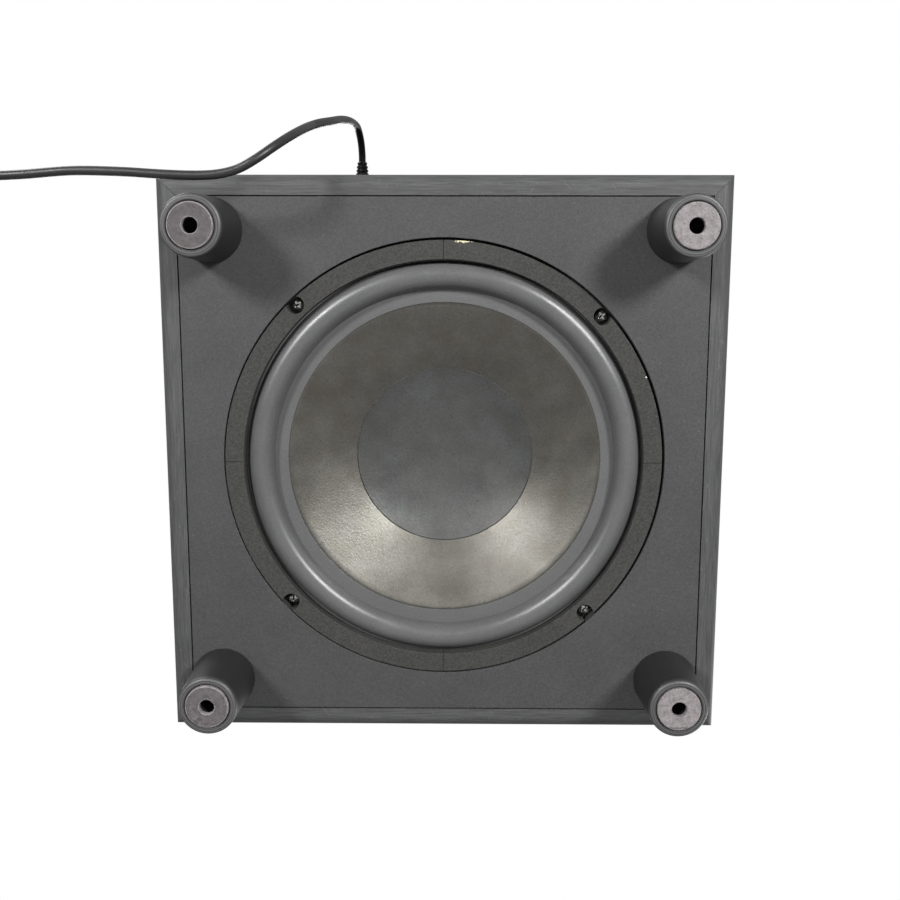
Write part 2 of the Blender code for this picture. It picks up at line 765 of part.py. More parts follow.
def smooth(route, count):
    """Evenly spaced points on a smooth curve through the route's points."""
    ends = [2 * route[0] - route[1], *route, 2 * route[-1] - route[-2]]
    fine = []
    for index in range(len(route) - 1):
        before, start, end, after = ends[index : index + 4]
        handle_a = start + (end - before) / 6
        handle_b = end - (after - start) / 6
        piece = geometry.interpolate_bezier(start, handle_a, handle_b, end, 24)
        fine.extend(piece if index == 0 else piece[1:])
    lengths = [0.0]
    for first, second in zip(fine, fine[1:]):
        lengths.append(lengths[-1] + (second - first).length)
    points = []
    place = 0
    for step in range(count):
        wanted = lengths[-1] * step / (count - 1)
        while place < len(fine) - 2 and lengths[place + 1] < wanted:
            place += 1
        share = (wanted - lengths[place]) / (lengths[place + 1] - lengths[place])
        points.append(fine[place].lerp(fine[place + 1], share))
    return points


def tube(name, points, radius, parent):
    curve = bpy.data.curves.new(name, "CURVE")
    curve.dimensions = "3D"
    curve.bevel_depth = radius * MM
    curve.bevel_resolution = 2
    curve.use_fill_caps = True
    spline = curve.splines.new("POLY")
    spline.points.add(len(points) - 1)
    for spot, point in zip(spline.points, points):
        spot.co = (*(point * MM), 1.0)
    curve.materials.append(finish("cord_rubber"))
    item = bpy.data.objects.new(name, curve)
    item.parent = parent
    bpy.context.scene.collection.objects.link(item)


def make_cord(parent):
    neck = [
        (0.0, -4.0),
        (5.2, -4.0),
        (5.2, PLATE_FACE + GAP),
        (7.5, PLATE_FACE + GAP),
        (7.5, 6.0),
        (5.8, 6.6),
        (3.6, RELIEF_END),
        (0.0, RELIEF_END),
    ]
    rear_turned("strain_relief", neck, "cord_rubber", CORD_PLACE, parent, 14)
    tube("power_cord", smooth([Vector(point) for point in CORD_ROUTE], CORD_POINTS), CORD_RADIUS, parent)

    x, y = COIL_CENTRE
    ring = rectangle((COIL_INNER, 0.0), (COIL_OUTER, COIL_HEIGHT))
    coil = add("cord_coil", turned(ring, 36), "cord_rubber", (x, y, 0.0), parent=parent)
    bevel(coil, 1.8, 1)
    inner, outer, top = COIL_INNER - 1.7, COIL_OUTER + 1.1, COIL_HEIGHT + 1.1
    strap = [
        (inner, GAP),
        (inner + 0.8, GAP),
        (inner + 0.8, top - 0.8),
        (outer - 0.8, top - 0.8),
        (outer - 0.8, GAP),
        (outer, GAP),
        (outer, top),
        (inner, top),
    ]
    add("cord_tie", prism(strap, -4.0, 4.0, "Y"), "tie_plastic", (x, y, 0.0), (0.0, 0.0, 205.0), parent)
    make_plug(x + OUTER_TURN, y, parent)


def make_plug(x, coil_y, parent):
    """A moulded two-blade plug with a tapered tail, lying where the lead leaves the coil."""
    tail_radius = 3.6
    tail_start = math.sqrt((COIL_OUTER + GAP) ** 2 - (OUTER_TURN - tail_radius) ** 2)
    tail = [(0.0, 0.0), (tail_radius, 0.0), (6.2, 20.0), (0.0, 20.0)]
    place = (x, coil_y - tail_start, TURN_LEVEL)
    plug = add("power_plug", turned(tail, 14), "cord_rubber", place, (90.0, 0.0, 0.0), parent)
    body = block((-11.5, -7.3, 17.0), (11.5, 7.3, 42.0))
    boolean(plug, body, "UNION", "body")
    blades = bmesh.new()
    for side in (-6.35, 6.35):
        join_shape(blades, block((side - 0.75, -3.2, 40.0), (side + 0.75, 3.2, 59.0)))
    boolean(plug, blades, "UNION", "blades")


def main():
    clear_scene()
    cabinet = empty("cabinet")
    cone_assembly = empty("cone_assembly", (0.0, CABINET_Y, BAFFLE_Z))
    volume = empty("volume_axis", rear_place(VOLUME_PLACE))
    crossover = empty("crossover_axis", rear_place(CROSSOVER_PLACE))
    slider = empty("phase_axis", rear_place((PHASE_PLACE[0] + 2.0, PHASE_PLACE[1])))
    rocker = empty("rocker_axis", rear_place(SWITCH_PLACE, 4.0))
    make_cabinet(cabinet)
    make_feet(cabinet)
    make_driver_frame(cabinet)
    make_suspension(cabinet)
    make_cone_assembly(cone_assembly)
    make_motor(cabinet)
    make_plate(cabinet)
    make_heatsink(cabinet)
    make_controls(cabinet, volume, crossover)
    make_phase_switch(cabinet, slider)
    make_power_switch(cabinet, rocker)
    make_line_jacks(cabinet)
    make_electronics(cabinet)
    make_cord(cabinet)


main()
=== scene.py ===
"""Looks of a down-firing powered subwoofer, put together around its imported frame.

+Z is up, the front is towards -Y and the amplifier towards +Y. Shapes are laid out in millimetres and
turned into metres as each piece is closed; sizes inside materials are in metres. A driver depth is measured
into the cabinet from the baffle's outer face, and a rear depth outwards from the rear wall's outer face.
"""

import math

import bmesh
import bpy
from mathutils import Matrix, Vector, noise


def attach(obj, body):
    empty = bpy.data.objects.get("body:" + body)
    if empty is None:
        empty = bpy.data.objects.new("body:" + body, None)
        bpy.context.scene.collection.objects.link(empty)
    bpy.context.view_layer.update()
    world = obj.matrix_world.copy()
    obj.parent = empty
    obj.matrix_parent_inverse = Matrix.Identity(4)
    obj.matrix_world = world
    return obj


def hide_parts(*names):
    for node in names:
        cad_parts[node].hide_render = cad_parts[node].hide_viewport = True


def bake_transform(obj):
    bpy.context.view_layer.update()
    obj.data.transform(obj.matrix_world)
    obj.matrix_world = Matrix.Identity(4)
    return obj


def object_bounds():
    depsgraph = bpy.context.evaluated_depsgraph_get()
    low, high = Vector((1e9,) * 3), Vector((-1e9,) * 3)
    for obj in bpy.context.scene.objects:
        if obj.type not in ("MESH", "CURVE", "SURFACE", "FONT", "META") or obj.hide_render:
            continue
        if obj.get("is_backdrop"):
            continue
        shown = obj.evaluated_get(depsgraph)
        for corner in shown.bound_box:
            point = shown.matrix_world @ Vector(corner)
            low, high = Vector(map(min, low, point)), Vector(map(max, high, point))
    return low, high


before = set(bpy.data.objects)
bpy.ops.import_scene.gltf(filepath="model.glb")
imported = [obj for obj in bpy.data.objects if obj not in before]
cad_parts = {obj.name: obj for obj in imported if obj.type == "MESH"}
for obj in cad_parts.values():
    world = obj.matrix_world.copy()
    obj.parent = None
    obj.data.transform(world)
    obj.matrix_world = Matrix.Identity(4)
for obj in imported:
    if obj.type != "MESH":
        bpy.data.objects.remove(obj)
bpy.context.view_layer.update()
MM = 0.001

# ---------------------------------------------------------------- studio
# A pale floor, soft lamps and the camera. The camera looks up at the underside from below the floor, so
# the floor is see-through from beneath and keeps no lamp off the object.

FLOOR_REACH = 6.0
FLOOR_TONE = (0.80, 0.80, 0.79, 1.0)
FLOOR_GLOW = 0.32
SKIRT_HALF = 0.1665
SKIRT_Y = -0.0095
SKIRT_HEIGHT = 0.056
SKY_BELOW = 0.10
SKY_ABOVE = 0.42
CAMERA_PLACE = (-0.0093, 0.0910, -0.5578)
CAMERA_AIM = (0.0094, -0.1528, 0.9882)
CAMERA_UP = (0.0033, 0.9883, 0.1528)
CAMERA_LENS = 41.47
# Name: place, the point it shines at, size, power in watts
LAMPS = {
    "key_left": ((1.05, 0.86, -1.22), (0.0, -0.02, 0.05), 0.38, 27.5),
    "key_right": ((-1.05, 0.86, -1.22), (0.0, -0.02, 0.05), 0.38, 35.5),
    "under_fill": ((0.0, -0.5, -1.3), (0.0, 0.0, 0.05), 1.4, 2.5),
    "cap_fill": ((0.0, 0.42, -1.3), (0.0, -0.05, 0.05), 0.5, 0.9),
    "overhead": ((0.3, -0.5, 2.2), (0.0, 0.0, 0.2), 1.6, 42.0),
    "front_soft": ((-1.6, -1.5, 1.1), (0.0, 0.0, 0.2), 1.2, 26.0),
    "rear_soft": ((1.5, 1.7, 1.2), (0.0, 0.0, 0.2), 1.2, 26.0),
}


def placed(name, data):
    """A new object in the scene."""
    item = bpy.data.objects.new(name, data)
    bpy.context.scene.collection.objects.link(item)
    return item


def meshed(name, shape):
    """A mesh of a bmesh, which is used up."""
    mesh = bpy.data.meshes.new(name)
    shape.to_mesh(mesh)
    shape.free()
    return mesh


def add_node(tree, kind, inputs=None, **settings):
    """A new node in the tree; each input is given a value, or the socket that feeds it."""
    item = tree.nodes.new(kind)
    for setting, value in settings.items():
        setattr(item, setting, value)
    for key, value in (inputs or {}).items():
        if isinstance(value, bpy.types.NodeSocket):
            tree.links.new(value, item.inputs[key])
        else:
            item.inputs[key].default_value = value
    return item


def mapped(tree, value, *limits):
    """A value mapped from one range, the first two limits, to another. Where a limit is None or isn't
    given, the range ends at 0 or at 1."""
    inputs = {0: value, **{at: limit for at, limit in enumerate(limits, 1) if limit is not None}}
    return add_node(tree, "ShaderNodeMapRange", inputs).outputs[0]


def corners_at(shape, reach, middle, height):
    """The four corners of a level square, its middle on the Y axis."""
    corners = ((-1, -1), (1, -1), (1, 1), (-1, 1))
    return [shape.verts.new((x * reach, y * reach + middle, height)) for x, y in corners]


def staged(name, shape, paper, unseen):
    """Puts a sheet of paper in the studio, unseen by some kinds of ray."""
    sheet = placed(name, meshed(name, shape))
    sheet.data.materials.append(paper)
    for kind in unseen:
        setattr(sheet, f"visible_{kind}", False)
    sheet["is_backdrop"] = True


def make_paper():
    """Pale paper that glows a little, and can't be seen from below."""
    paper = bpy.data.materials.new("floor_paper")
    paper.use_nodes = True
    tree = paper.node_tree
    shader = tree.nodes["Principled BSDF"]
    shader.inputs["Base Color"].default_value = FLOOR_TONE
    shader.inputs["Roughness"].default_value = 0.9
    shader.inputs["Emission Color"].default_value = FLOOR_TONE
    shader.inputs["Emission Strength"].default_value = FLOOR_GLOW
    side = add_node(tree, "ShaderNodeNewGeometry").outputs["Backfacing"]
    clear = add_node(tree, "ShaderNodeBsdfTransparent").outputs[0]
    both = add_node(tree, "ShaderNodeMixShader", {0: side, 1: shader.outputs[0], 2: clear})
    tree.links.new(both.outputs[0], tree.nodes["Material Output"].inputs["Surface"])
    return paper


def make_floor(paper):
    shape = bmesh.new()
    shape.faces.new(corners_at(shape, FLOOR_REACH, 0.0, 0.0))
    staged("floor", shape, paper, ("shadow", "diffuse", "glossy"))


def make_skirt(paper):
    """A frame round the object that stops the lamps under the floor from glaring on its sides. It's seen
    by nothing but the lamps, and lets the light from above through."""
    shape = bmesh.new()
    inner = corners_at(shape, SKIRT_HALF, SKIRT_Y, SKIRT_HEIGHT)
    outer = corners_at(shape, FLOOR_REACH, 0.0, SKIRT_HEIGHT)
    for at in range(4):
        after = (at + 1) % 4
        shape.faces.new((outer[at], outer[after], inner[after], inner[at]))
    staged("lamp_skirt", shape, paper, ("camera", "diffuse", "glossy", "transmission"))


def make_sky():
    """White behind everything the camera sees, and a softer light that is strongest from above."""
    sky = bpy.data.worlds.new("studio_sky")
    bpy.context.scene.world = sky
    sky.use_nodes = True
    tree = sky.node_tree
    tree.nodes.clear()
    direction = add_node(tree, "ShaderNodeTexCoord").outputs["Generated"]
    height = add_node(tree, "ShaderNodeSeparateXYZ", {0: direction}).outputs["Z"]
    soft = mapped(tree, height, -1.0, 0.6, SKY_BELOW, SKY_ABOVE)
    seen = add_node(tree, "ShaderNodeLightPath").outputs["Is Camera Ray"]
    level = add_node(tree, "ShaderNodeMix", {0: seen, 2: soft, 3: 1.0}, data_type="FLOAT").outputs[0]
    glow = add_node(tree, "ShaderNodeBackground", {0: (1.0, 1.0, 1.0, 1.0), 1: level}).outputs[0]
    add_node(tree, "ShaderNodeOutputWorld", {"Surface": glow})


def make_camera():
    camera = placed("camera", bpy.data.cameras.new("camera"))
    aim, up = Vector(CAMERA_AIM).normalized(), Vector(CAMERA_UP).normalized()
    right = aim.cross(up).normalized()
    axes = Matrix((right, right.cross(aim), -aim)).transposed()
    camera.matrix_world = Matrix.Translation(CAMERA_PLACE) @ axes.to_4x4()
    camera.data.lens = CAMERA_LENS
    camera.data.sensor_width = 36.0
    camera.data.clip_start = 0.02
    camera.data.clip_end = 40.0
    bpy.context.scene.camera = camera


def make_lamp(name, place, aim, size, power):
    lamp = placed(name, bpy.data.lights.new(name, "AREA"))
    lamp.data.shape = "DISK"
    lamp.data.size = size
    lamp.data.energy = power
    lamp.location = place
    lamp.rotation_mode = "QUATERNION"
    lamp.rotation_quaternion = (Vector(aim) - Vector(place)).to_track_quat("-Z", "Y")


floor_paper = make_paper()
make_floor(floor_paper)
make_skirt(floor_paper)
make_sky()
make_camera()
for lamp_name, lamp_facts in LAMPS.items():
    make_lamp(lamp_name, *lamp_facts)
bpy.context.scene.view_settings.view_transform = "Standard"

# ---------------------------------------------------------------- cabinet walls and top
# Four medium-density fibreboard walls, mitred and glued, with their outer edges rounded over and wrapped
# in black ash-grain vinyl. The top board is wrapped too and sits flush between them.

SHARP_ANGLE = 32.0
CABINET_Y = -9.5
BAFFLE_Z = 46.0
CABINET_HEIGHT = 360.0
HALF = 165.5
WALL = 12.0
REAR_Y = CABINET_Y + HALF
EDGE_RADIUS = 7.0
EDGE_STEPS = 12
MITRE_GAP = 0.04
MITRE_EDGE = 0.15
GRAIN_CONTRAST = 2.2
SCUFF_START = 0.72
OPENING_HALF = 92.0
OPENING_LOW = 58.0
OPENING_HIGH = 302.0
VINYL_DARK = (0.034, 0.034, 0.035)
VINYL_LIGHT = (0.092, 0.093, 0.094)
WALLS = {"front": 0.0, "right": 90.0, "rear": 180.0, "left": -90.0}


def arc(centre, radius, start, end, steps):
    """Points on an arc from one angle to another, in degrees, both ends included."""
    points = []
    for step in range(steps + 1):
        angle = math.radians(start + (end - start) * step / steps)
        points.append((centre[0] + radius * math.cos(angle), centre[1] + radius * math.sin(angle)))
    return points


def hooped(loops):
    """A closed bmesh from loops of as many points each: every loop is joined to the next, and the last to
    the first. A loop of one point closes to a tip."""
    shape = bmesh.new()
    rings = [[shape.verts.new(point) for point in loop] for loop in loops]
    count = max(len(ring) for ring in rings)
    for index, ring in enumerate(rings):
        following = rings[(index + 1) % len(rings)]
        for place in range(count):
            after = (place + 1) % count
            corners = []
            for line, at in ((ring, place), (ring, after), (following, after), (following, place)):
                vertex = line[at % len(line)]
                if vertex not in corners:
                    corners.append(vertex)
            if len(corners) > 2:
                shape.faces.new(corners)
    return shape


def moved(shape, place=(0.0, 0.0, 0.0), turn=0.0, axis="Z"):
    matrix = Matrix.Translation(place) @ Matrix.Rotation(math.radians(turn), 4, axis)
    bmesh.ops.transform(shape, verts=shape.verts, matrix=matrix)
    return shape


def rounded(shape, width, segments=2):
    """Rounds the edges where two faces meet at more than the sharp angle."""
    bmesh.ops.recalc_face_normals(shape, faces=shape.faces)
    limit = math.radians(SHARP_ANGLE)
    sharp = [edge for edge in shape.edges if len(edge.link_faces) == 2 and edge.calc_face_angle() > limit]
    bmesh.ops.bevel(
        shape, geom=sharp, offset=width, segments=segments, profile=0.5, affect="EDGES", clamp_overlap=True
    )
    return shape


def softened(node, width, segments=2):
    """A bmesh of a CAD node's own shape, in millimetres, with its edges rounded."""
    shape = bmesh.new()
    shape.from_mesh(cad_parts[node].data)
    bmesh.ops.scale(shape, vec=(1.0 / MM,) * 3, verts=shape.verts)
    bmesh.ops.remove_doubles(shape, verts=shape.verts, dist=0.002)
    bmesh.ops.dissolve_limit(shape, angle_limit=math.radians(1.0), verts=shape.verts, edges=shape.edges)
    return rounded(shape, width, segments)


def carved(shape, tool):
    """The bmesh with the tool cut from it. Both are used up."""
    items = []
    for part in (shape, tool):
        bmesh.ops.recalc_face_normals(part, faces=part.faces)
        items.append(placed("carving", meshed("carving", part)))
    cut = items[0].modifiers.new("cut", "BOOLEAN")
    cut.operation, cut.object, cut.solver = "DIFFERENCE", items[1], "EXACT"
    result = bmesh.new()
    result.from_mesh(items[0].evaluated_get(bpy.context.evaluated_depsgraph_get()).data)
    for item in items:
        bpy.data.meshes.remove(item.data)
    return result


def together(shapes):
    """One bmesh that holds all the shapes, which are used up."""
    whole = bmesh.new()
    for shape in shapes:
        mesh = meshed("part", shape)
        whole.from_mesh(mesh)
        bpy.data.meshes.remove(mesh)
    return whole


def closed(name, shape, finish, body, slot, *replaced, sharp=SHARP_ANGLE):
    """Makes a bmesh in millimetres into a piece that rides on a body, with its faces pointing out."""
    bmesh.ops.scale(shape, vec=(MM, MM, MM), verts=shape.verts)
    bmesh.ops.recalc_face_normals(shape, faces=shape.faces)
    return settled(name, meshed(name, shape), finish, body, slot, *replaced, sharp=sharp)


def settled(name, mesh, finish, body, slot, *replaced, sharp=SHARP_ANGLE):
    """Puts a finished mesh in the scene as a piece on a body; without a body it is left loose."""
    mesh.shade_smooth()
    mesh.set_sharp_from_angle(angle=math.radians(sharp))
    mesh.materials.clear()
    mesh.materials.append(finish)
    item = placed(name, mesh)
    even = item.modifiers.new("even", "WEIGHTED_NORMAL")
    even.keep_sharp, even.weight = True, 100
    made = item.evaluated_get(bpy.context.evaluated_depsgraph_get())
    item.data = bpy.data.meshes.new_from_object(made)
    item.modifiers.clear()
    bpy.data.meshes.remove(mesh)
    item.data.name = name
    if body:
        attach(item, body)
    if replaced:
        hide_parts(*replaced)
    return item


def maths(tree, operation, *values, clamp=False):
    """The result of a sum on the values or sockets."""
    inputs = dict(enumerate(values))
    return add_node(tree, "ShaderNodeMath", inputs, operation=operation, use_clamp=clamp).outputs[0]


def vectors(tree, operation, *values):
    item = add_node(tree, "ShaderNodeVectorMath", dict(enumerate(values)), operation=operation)
    return item.outputs["Value" if operation == "LENGTH" else 0]


def object_place(tree):
    return add_node(tree, "ShaderNodeTexCoord").outputs["Object"]


def noisy(tree, inputs, **settings):
    return add_node(tree, "ShaderNodeTexNoise", inputs, **settings).outputs[0]


def mixed(tree, share, first, second):
    """Two colours mixed by a share; a colour is three numbers or a socket."""
    first, second = [(*tone, 1.0) if isinstance(tone, tuple) else tone for tone in (first, second)]
    return add_node(tree, "ShaderNodeMix", {0: share, 6: first, 7: second}, data_type="RGBA").outputs[2]


def effect(name, inputs, outputs):
    """A shader node group with named inputs and outputs, its inputs' sockets and its output node."""
    tree = bpy.data.node_groups.new(name, "ShaderNodeTree")
    for label, value in inputs.items():
        kind = "NodeSocketVector" if isinstance(value, tuple) else "NodeSocketFloat"
        tree.interface.new_socket(label, in_out="INPUT", socket_type=kind).default_value = value
    for label in outputs:
        tree.interface.new_socket(label, in_out="OUTPUT", socket_type="NodeSocketFloat")
    return tree, add_node(tree, "NodeGroupInput").outputs, add_node(tree, "NodeGroupOutput")


def make_noise_group(name, inputs, detail, roughness, outputs):
    """Noise stretched by Size, its contrast raised about its middle. The inputs are the size and the
    contrast, and the outputs the contrasted tone from 0 to 1 and, where wanted, the noise as it is."""
    tree, given, made = effect(name, inputs, outputs)
    spread = vectors(tree, "DIVIDE", object_place(tree), given[0])
    plain = noisy(tree, {"Vector": spread, "Scale": 1.0, "Detail": detail, "Roughness": roughness})
    centred = maths(tree, "SUBTRACT", plain, 0.5)
    tone = maths(tree, "MULTIPLY_ADD", centred, given[1], 0.5, clamp=True)
    for end, socket in zip(made.inputs, (tone, plain)[: len(outputs)]):
        tree.links.new(socket, end)
    return tree


FINE_GRAIN = make_noise_group(
    "fine_grain", {"Size": (0.001, 0.001, 0.001), "Contrast": 1.0}, 4.0, 0.62, ("Tone", "Height")
)
# Broad uneven patches, as handling and polish leave them
PATCHES = make_noise_group("handled_patches", {"Size": 0.05, "Sharpness": 1.5}, 3.0, 0.5, ("Mask",))


def grouped(tree, group, *values):
    """The outputs of a shader group in the tree, its inputs given in their order."""
    return add_node(tree, "ShaderNodeGroup", dict(enumerate(values)), node_tree=group).outputs


def shader_of(finish):
    return finish.node_tree, finish.node_tree.nodes["Principled BSDF"]


def finish_of(
    name,
    dark,
    light,
    roughness,
    grain,
    raised,
    patch=0.06,
    uneven=0.08,
    metallic=0.0,
    fine=0.45,
    specular=0.5,
):
    """A material of two tones, mixed by broad patches and by a fine raised grain.

    Grain is the grain's size, one for all axes or one for each, raised its height and patch the patches'
    size. Uneven is how far the patches swing the roughness, and fine the grain's share of the tone.
    """
    finish = bpy.data.materials.new(name)
    finish.use_nodes = True
    tree, shader = shader_of(finish)
    shader.inputs["Metallic"].default_value = metallic
    shader.inputs["Specular IOR Level"].default_value = specular
    sizes = grain if isinstance(grain, tuple) else (grain,) * 3
    grains = grouped(tree, FINE_GRAIN, sizes, GRAIN_CONTRAST)
    broad = grouped(tree, PATCHES, patch)["Mask"]
    both = {0: fine, 2: broad, 3: grains["Tone"]}
    share = add_node(tree, "ShaderNodeMix", both, data_type="FLOAT").outputs[0]
    gloss = mapped(tree, broad, None, None, roughness - uneven, roughness + uneven)
    bump = add_node(tree, "ShaderNodeBump", {"Height": grains["Height"], "Strength": 1.0, "Distance": raised})
    tree.links.new(mixed(tree, share, dark, light), shader.inputs["Base Color"])
    tree.links.new(gloss, shader.inputs["Roughness"])
    tree.links.new(bump.outputs[0], shader.inputs["Normal"])
    return finish


def tinted(finish, share, colour):
    """Lays another colour over a finish where the share, worked out by a function of its tree, is high."""
    tree, shader = shader_of(finish)
    base = shader.inputs["Base Color"]
    tree.links.new(mixed(tree, share(tree), base.links[0].from_socket, colour), base)
    return finish


def make_scuffs():
    """Short pale strokes and specks, all about Size wide: a mask from 0 to Amount."""
    tree, given, made = effect("scuffs", {"Size": 0.001, "Amount": 0.5}, ("Mask",))
    spread = vectors(tree, "DIVIDE", object_place(tree), given["Size"])
    mask = 0.0
    # Angle and length of each kind of mark, and the noise at which it is full
    for angle, squeeze, full in ((0.7, 0.22, 0.78), (-0.9, 0.3, 0.80), (0.0, 1.0, 0.80)):
        turn = {"Vector": spread, "Angle": angle}
        skewed = add_node(tree, "ShaderNodeVectorRotate", turn, rotation_type="Z_AXIS").outputs[0]
        drawn = vectors(tree, "MULTIPLY", skewed, (1.0, squeeze, 1.0))
        strokes = noisy(tree, {"Vector": drawn, "Scale": 1.0, "Detail": 1.0})
        mask = maths(tree, "MAXIMUM", mapped(tree, strokes, SCUFF_START, full), mask)
    tree.links.new(maths(tree, "MULTIPLY", mask, given["Amount"]), made.inputs[0])
    return tree


SCUFFS = make_scuffs()


def scuffed(finish, colour, size, amount):
    """Lays scuffs over a finish's colour."""
    return tinted(finish, lambda tree: grouped(tree, SCUFFS, size, amount)[0], colour)


def wall_outline():
    """A wall's section as (depth, height): its inner face straight, its outer edges rounded."""
    low = arc((EDGE_RADIUS, EDGE_RADIUS), EDGE_RADIUS, 270.0, 180.0, EDGE_STEPS)
    high = [(depth, CABINET_HEIGHT - height) for depth, height in reversed(low)]
    return [(WALL, 0.0), *low, *high, (WALL, CABINET_HEIGHT)]


def spanned(shape, outlines):
    """Joins each outline of a bmesh to the next with faces, and closes the first and the last."""
    shape.faces.new(outlines[0])
    shape.faces.new(outlines[-1])
    for first, second in zip(outlines, outlines[1:]):
        for index in range(len(first)):
            after = (index + 1) % len(first)
            shape.faces.new((first[index], first[after], second[after], second[index]))


def wall(turn):
    shape = bmesh.new()
    ends = []
    for side in (-1, 1):
        end = [(side * (HALF - depth - MITRE_GAP), depth - HALF, height) for depth, height in wall_outline()]
        ends.append([shape.verts.new(place) for place in end])
    spanned(shape, ends)
    rounded(shape, MITRE_EDGE)
    return moved(shape, (0.0, CABINET_Y, BAFFLE_Z), turn)


def block(low, high):
    shape = bmesh.new()
    bmesh.ops.create_cube(shape, size=1.0)
    bmesh.ops.scale(shape, vec=[b - a for a, b in zip(low, high)], verts=shape.verts)
    return moved(shape, [(a + b) / 2 for a, b in zip(low, high)])


def vinyl(name, grain):
    """Black vinyl with a pressed ash grain along the wall, and a little polish from handling."""
    finish = finish_of(
        name, VINYL_DARK, VINYL_LIGHT, 0.52, grain, 0.00012, patch=0.05, uneven=0.03, fine=0.85, specular=0.42
    )
    return scuffed(finish, (0.17, 0.17, 0.17), 0.0012, 0.3)


ash_along = vinyl("ash_vinyl_along", (0.016, 0.0008, 0.0008))
ash_across = vinyl("ash_vinyl_across", (0.0008, 0.016, 0.0008))
for name, turn in WALLS.items():
    shape = wall(turn)
    if name == "rear":
        low = (-OPENING_HALF, REAR_Y - 2 * WALL, BAFFLE_Z + OPENING_LOW)
        high = (OPENING_HALF, REAR_Y + WALL, BAFFLE_Z + OPENING_HIGH)
        shape = carved(shape, block(low, high))
    covering = ash_along if name in ("front", "rear") else ash_across
    closed(f"{name}_wall", shape, covering, "cabinet", "vinyl_wrap", f"{name}_panel")
closed("top_board", softened("top_panel", 0.6, 3), ash_along, "cabinet", "vinyl_wrap", "top_panel")

# ---------------------------------------------------------------- bottom board and batten frame
# The board that carries the driver and the feet: fibreboard under a dark textured paint, let in between
# the walls with a shadow gap. A stepped round seat is routed in it. Bare battens glue it to the walls.

BOARD_HALF = 152.9
BOARD_THICK = 18.0
BOARD_EDGE = 0.45
SEAT_RADIUS = 130.0
SEAT_DEPTH = 11.8
DRIVER_HOLE_RADIUS = 119.3
BOARD_POINTS = 256


def circle(radius, height, points=BOARD_POINTS):
    ring = []
    for step in range(points):
        angle = 2.0 * math.pi * step / points
        ring.append((radius * math.cos(angle), radius * math.sin(angle), height))
    return ring


def square(half, height):
    """A square loop whose points lie on the same rays as a circle's, so that the two can be joined."""
    ring = []
    for x, y, _ in circle(1.0, 0.0):
        reach = half / max(abs(x), abs(y))
        ring.append((x * reach, y * reach, height))
    return ring


def at_driver(shape):
    """Turns a shape laid out with depths for heights into its place in the bottom board."""
    return moved(shape, (0.0, CABINET_Y, BAFFLE_Z))


def bottom_board():
    loops = [
        square(BOARD_HALF, BOARD_THICK),
        square(BOARD_HALF, BOARD_EDGE),
        square(BOARD_HALF - 0.15, 0.15),
        square(BOARD_HALF - BOARD_EDGE, 0.0),
        circle(SEAT_RADIUS + BOARD_EDGE + 0.1, 0.0),
        circle(SEAT_RADIUS + 0.2, 0.12),
        circle(SEAT_RADIUS, BOARD_EDGE),
        circle(SEAT_RADIUS, SEAT_DEPTH),
        circle(DRIVER_HOLE_RADIUS, SEAT_DEPTH),
        circle(DRIVER_HOLE_RADIUS, BOARD_THICK),
    ]
    return at_driver(hooped(loops))


def board_paint():
    """Dark paint with a fine orange-peel texture, faintly mottled."""
    dark, light = (0.032, 0.032, 0.0325), (0.071, 0.0708, 0.0730)
    finish = finish_of(
        "board_paint", dark, light, 0.55, 0.0012, 0.00007, patch=0.03, uneven=0.04, fine=0.7, specular=0.4
    )
    return scuffed(finish, (0.16, 0.16, 0.165), 0.0010, 0.3)


def bare_board():
    """Pressed wood fibre, left bare where nobody sees it."""
    grain = (0.0009, 0.0009, 0.0004)
    return finish_of("bare_board", (0.33, 0.22, 0.13), (0.50, 0.37, 0.24), 0.86, grain, 0.00012)


def dress(node, finish):
    """Gives a CAD node that keeps its own shape a finish."""
    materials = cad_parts[node].data.materials
    materials.clear()
    materials.append(finish)


closed("bottom_board", bottom_board(), board_paint(), "cabinet", "painted_board", "bottom_baffle")
dress("baffle_frame", bare_board())

# ---------------------------------------------------------------- feet
# Four tapered feet, moulded in black plastic. A soft rubber ring is pressed into each tip, and a screw
# through the bore holds the foot to the bottom board.

FOOT_HEIGHT = 46.0
FOOT_PLACE = 134.0
FOOT_BASE_RADIUS = 18.7
FOOT_TIP_RADIUS = 17.0
TIP_ROUND = 2.2
PAD_RADIUS = 12.5
PAD_HOLE = 4.3
BORE_RADIUS = 5.0
BORE_TOP = 34.0
SCREW_BORE = 2.4
FOOT_POINTS = 96
FEET = {"front_left": (-1, -1), "front_right": (1, -1), "rear_right": (1, 1), "rear_left": (-1, 1)}
DRIVER_AXIS = (0.0, CABINET_Y * MM, 0.0)
FLAT = (1.0, 1.0, 0.0)
SCREW_SIZES = ("Head Radius", "Head Height", "Slot Width", "Slot Depth", "Shank Radius", "Shank Length")
DOWNWARD = (math.pi, 0.0, 0.0)
REARWARD = (-math.pi / 2, 0.0, 0.0)


def turned(profile, points, place=(0.0, 0.0, 0.0), rearward=False):
    """A bmesh turned from a closed profile of (radius, height); rearward ones are turned about +Y."""
    loops = []
    for radius, height in profile:
        loops.append([(0.0, 0.0, height)] if radius < 0.001 else circle(radius, height, points))
    shape = hooped(loops)
    if rearward:
        moved(shape, turn=-90.0, axis="X")
    return moved(shape, place)


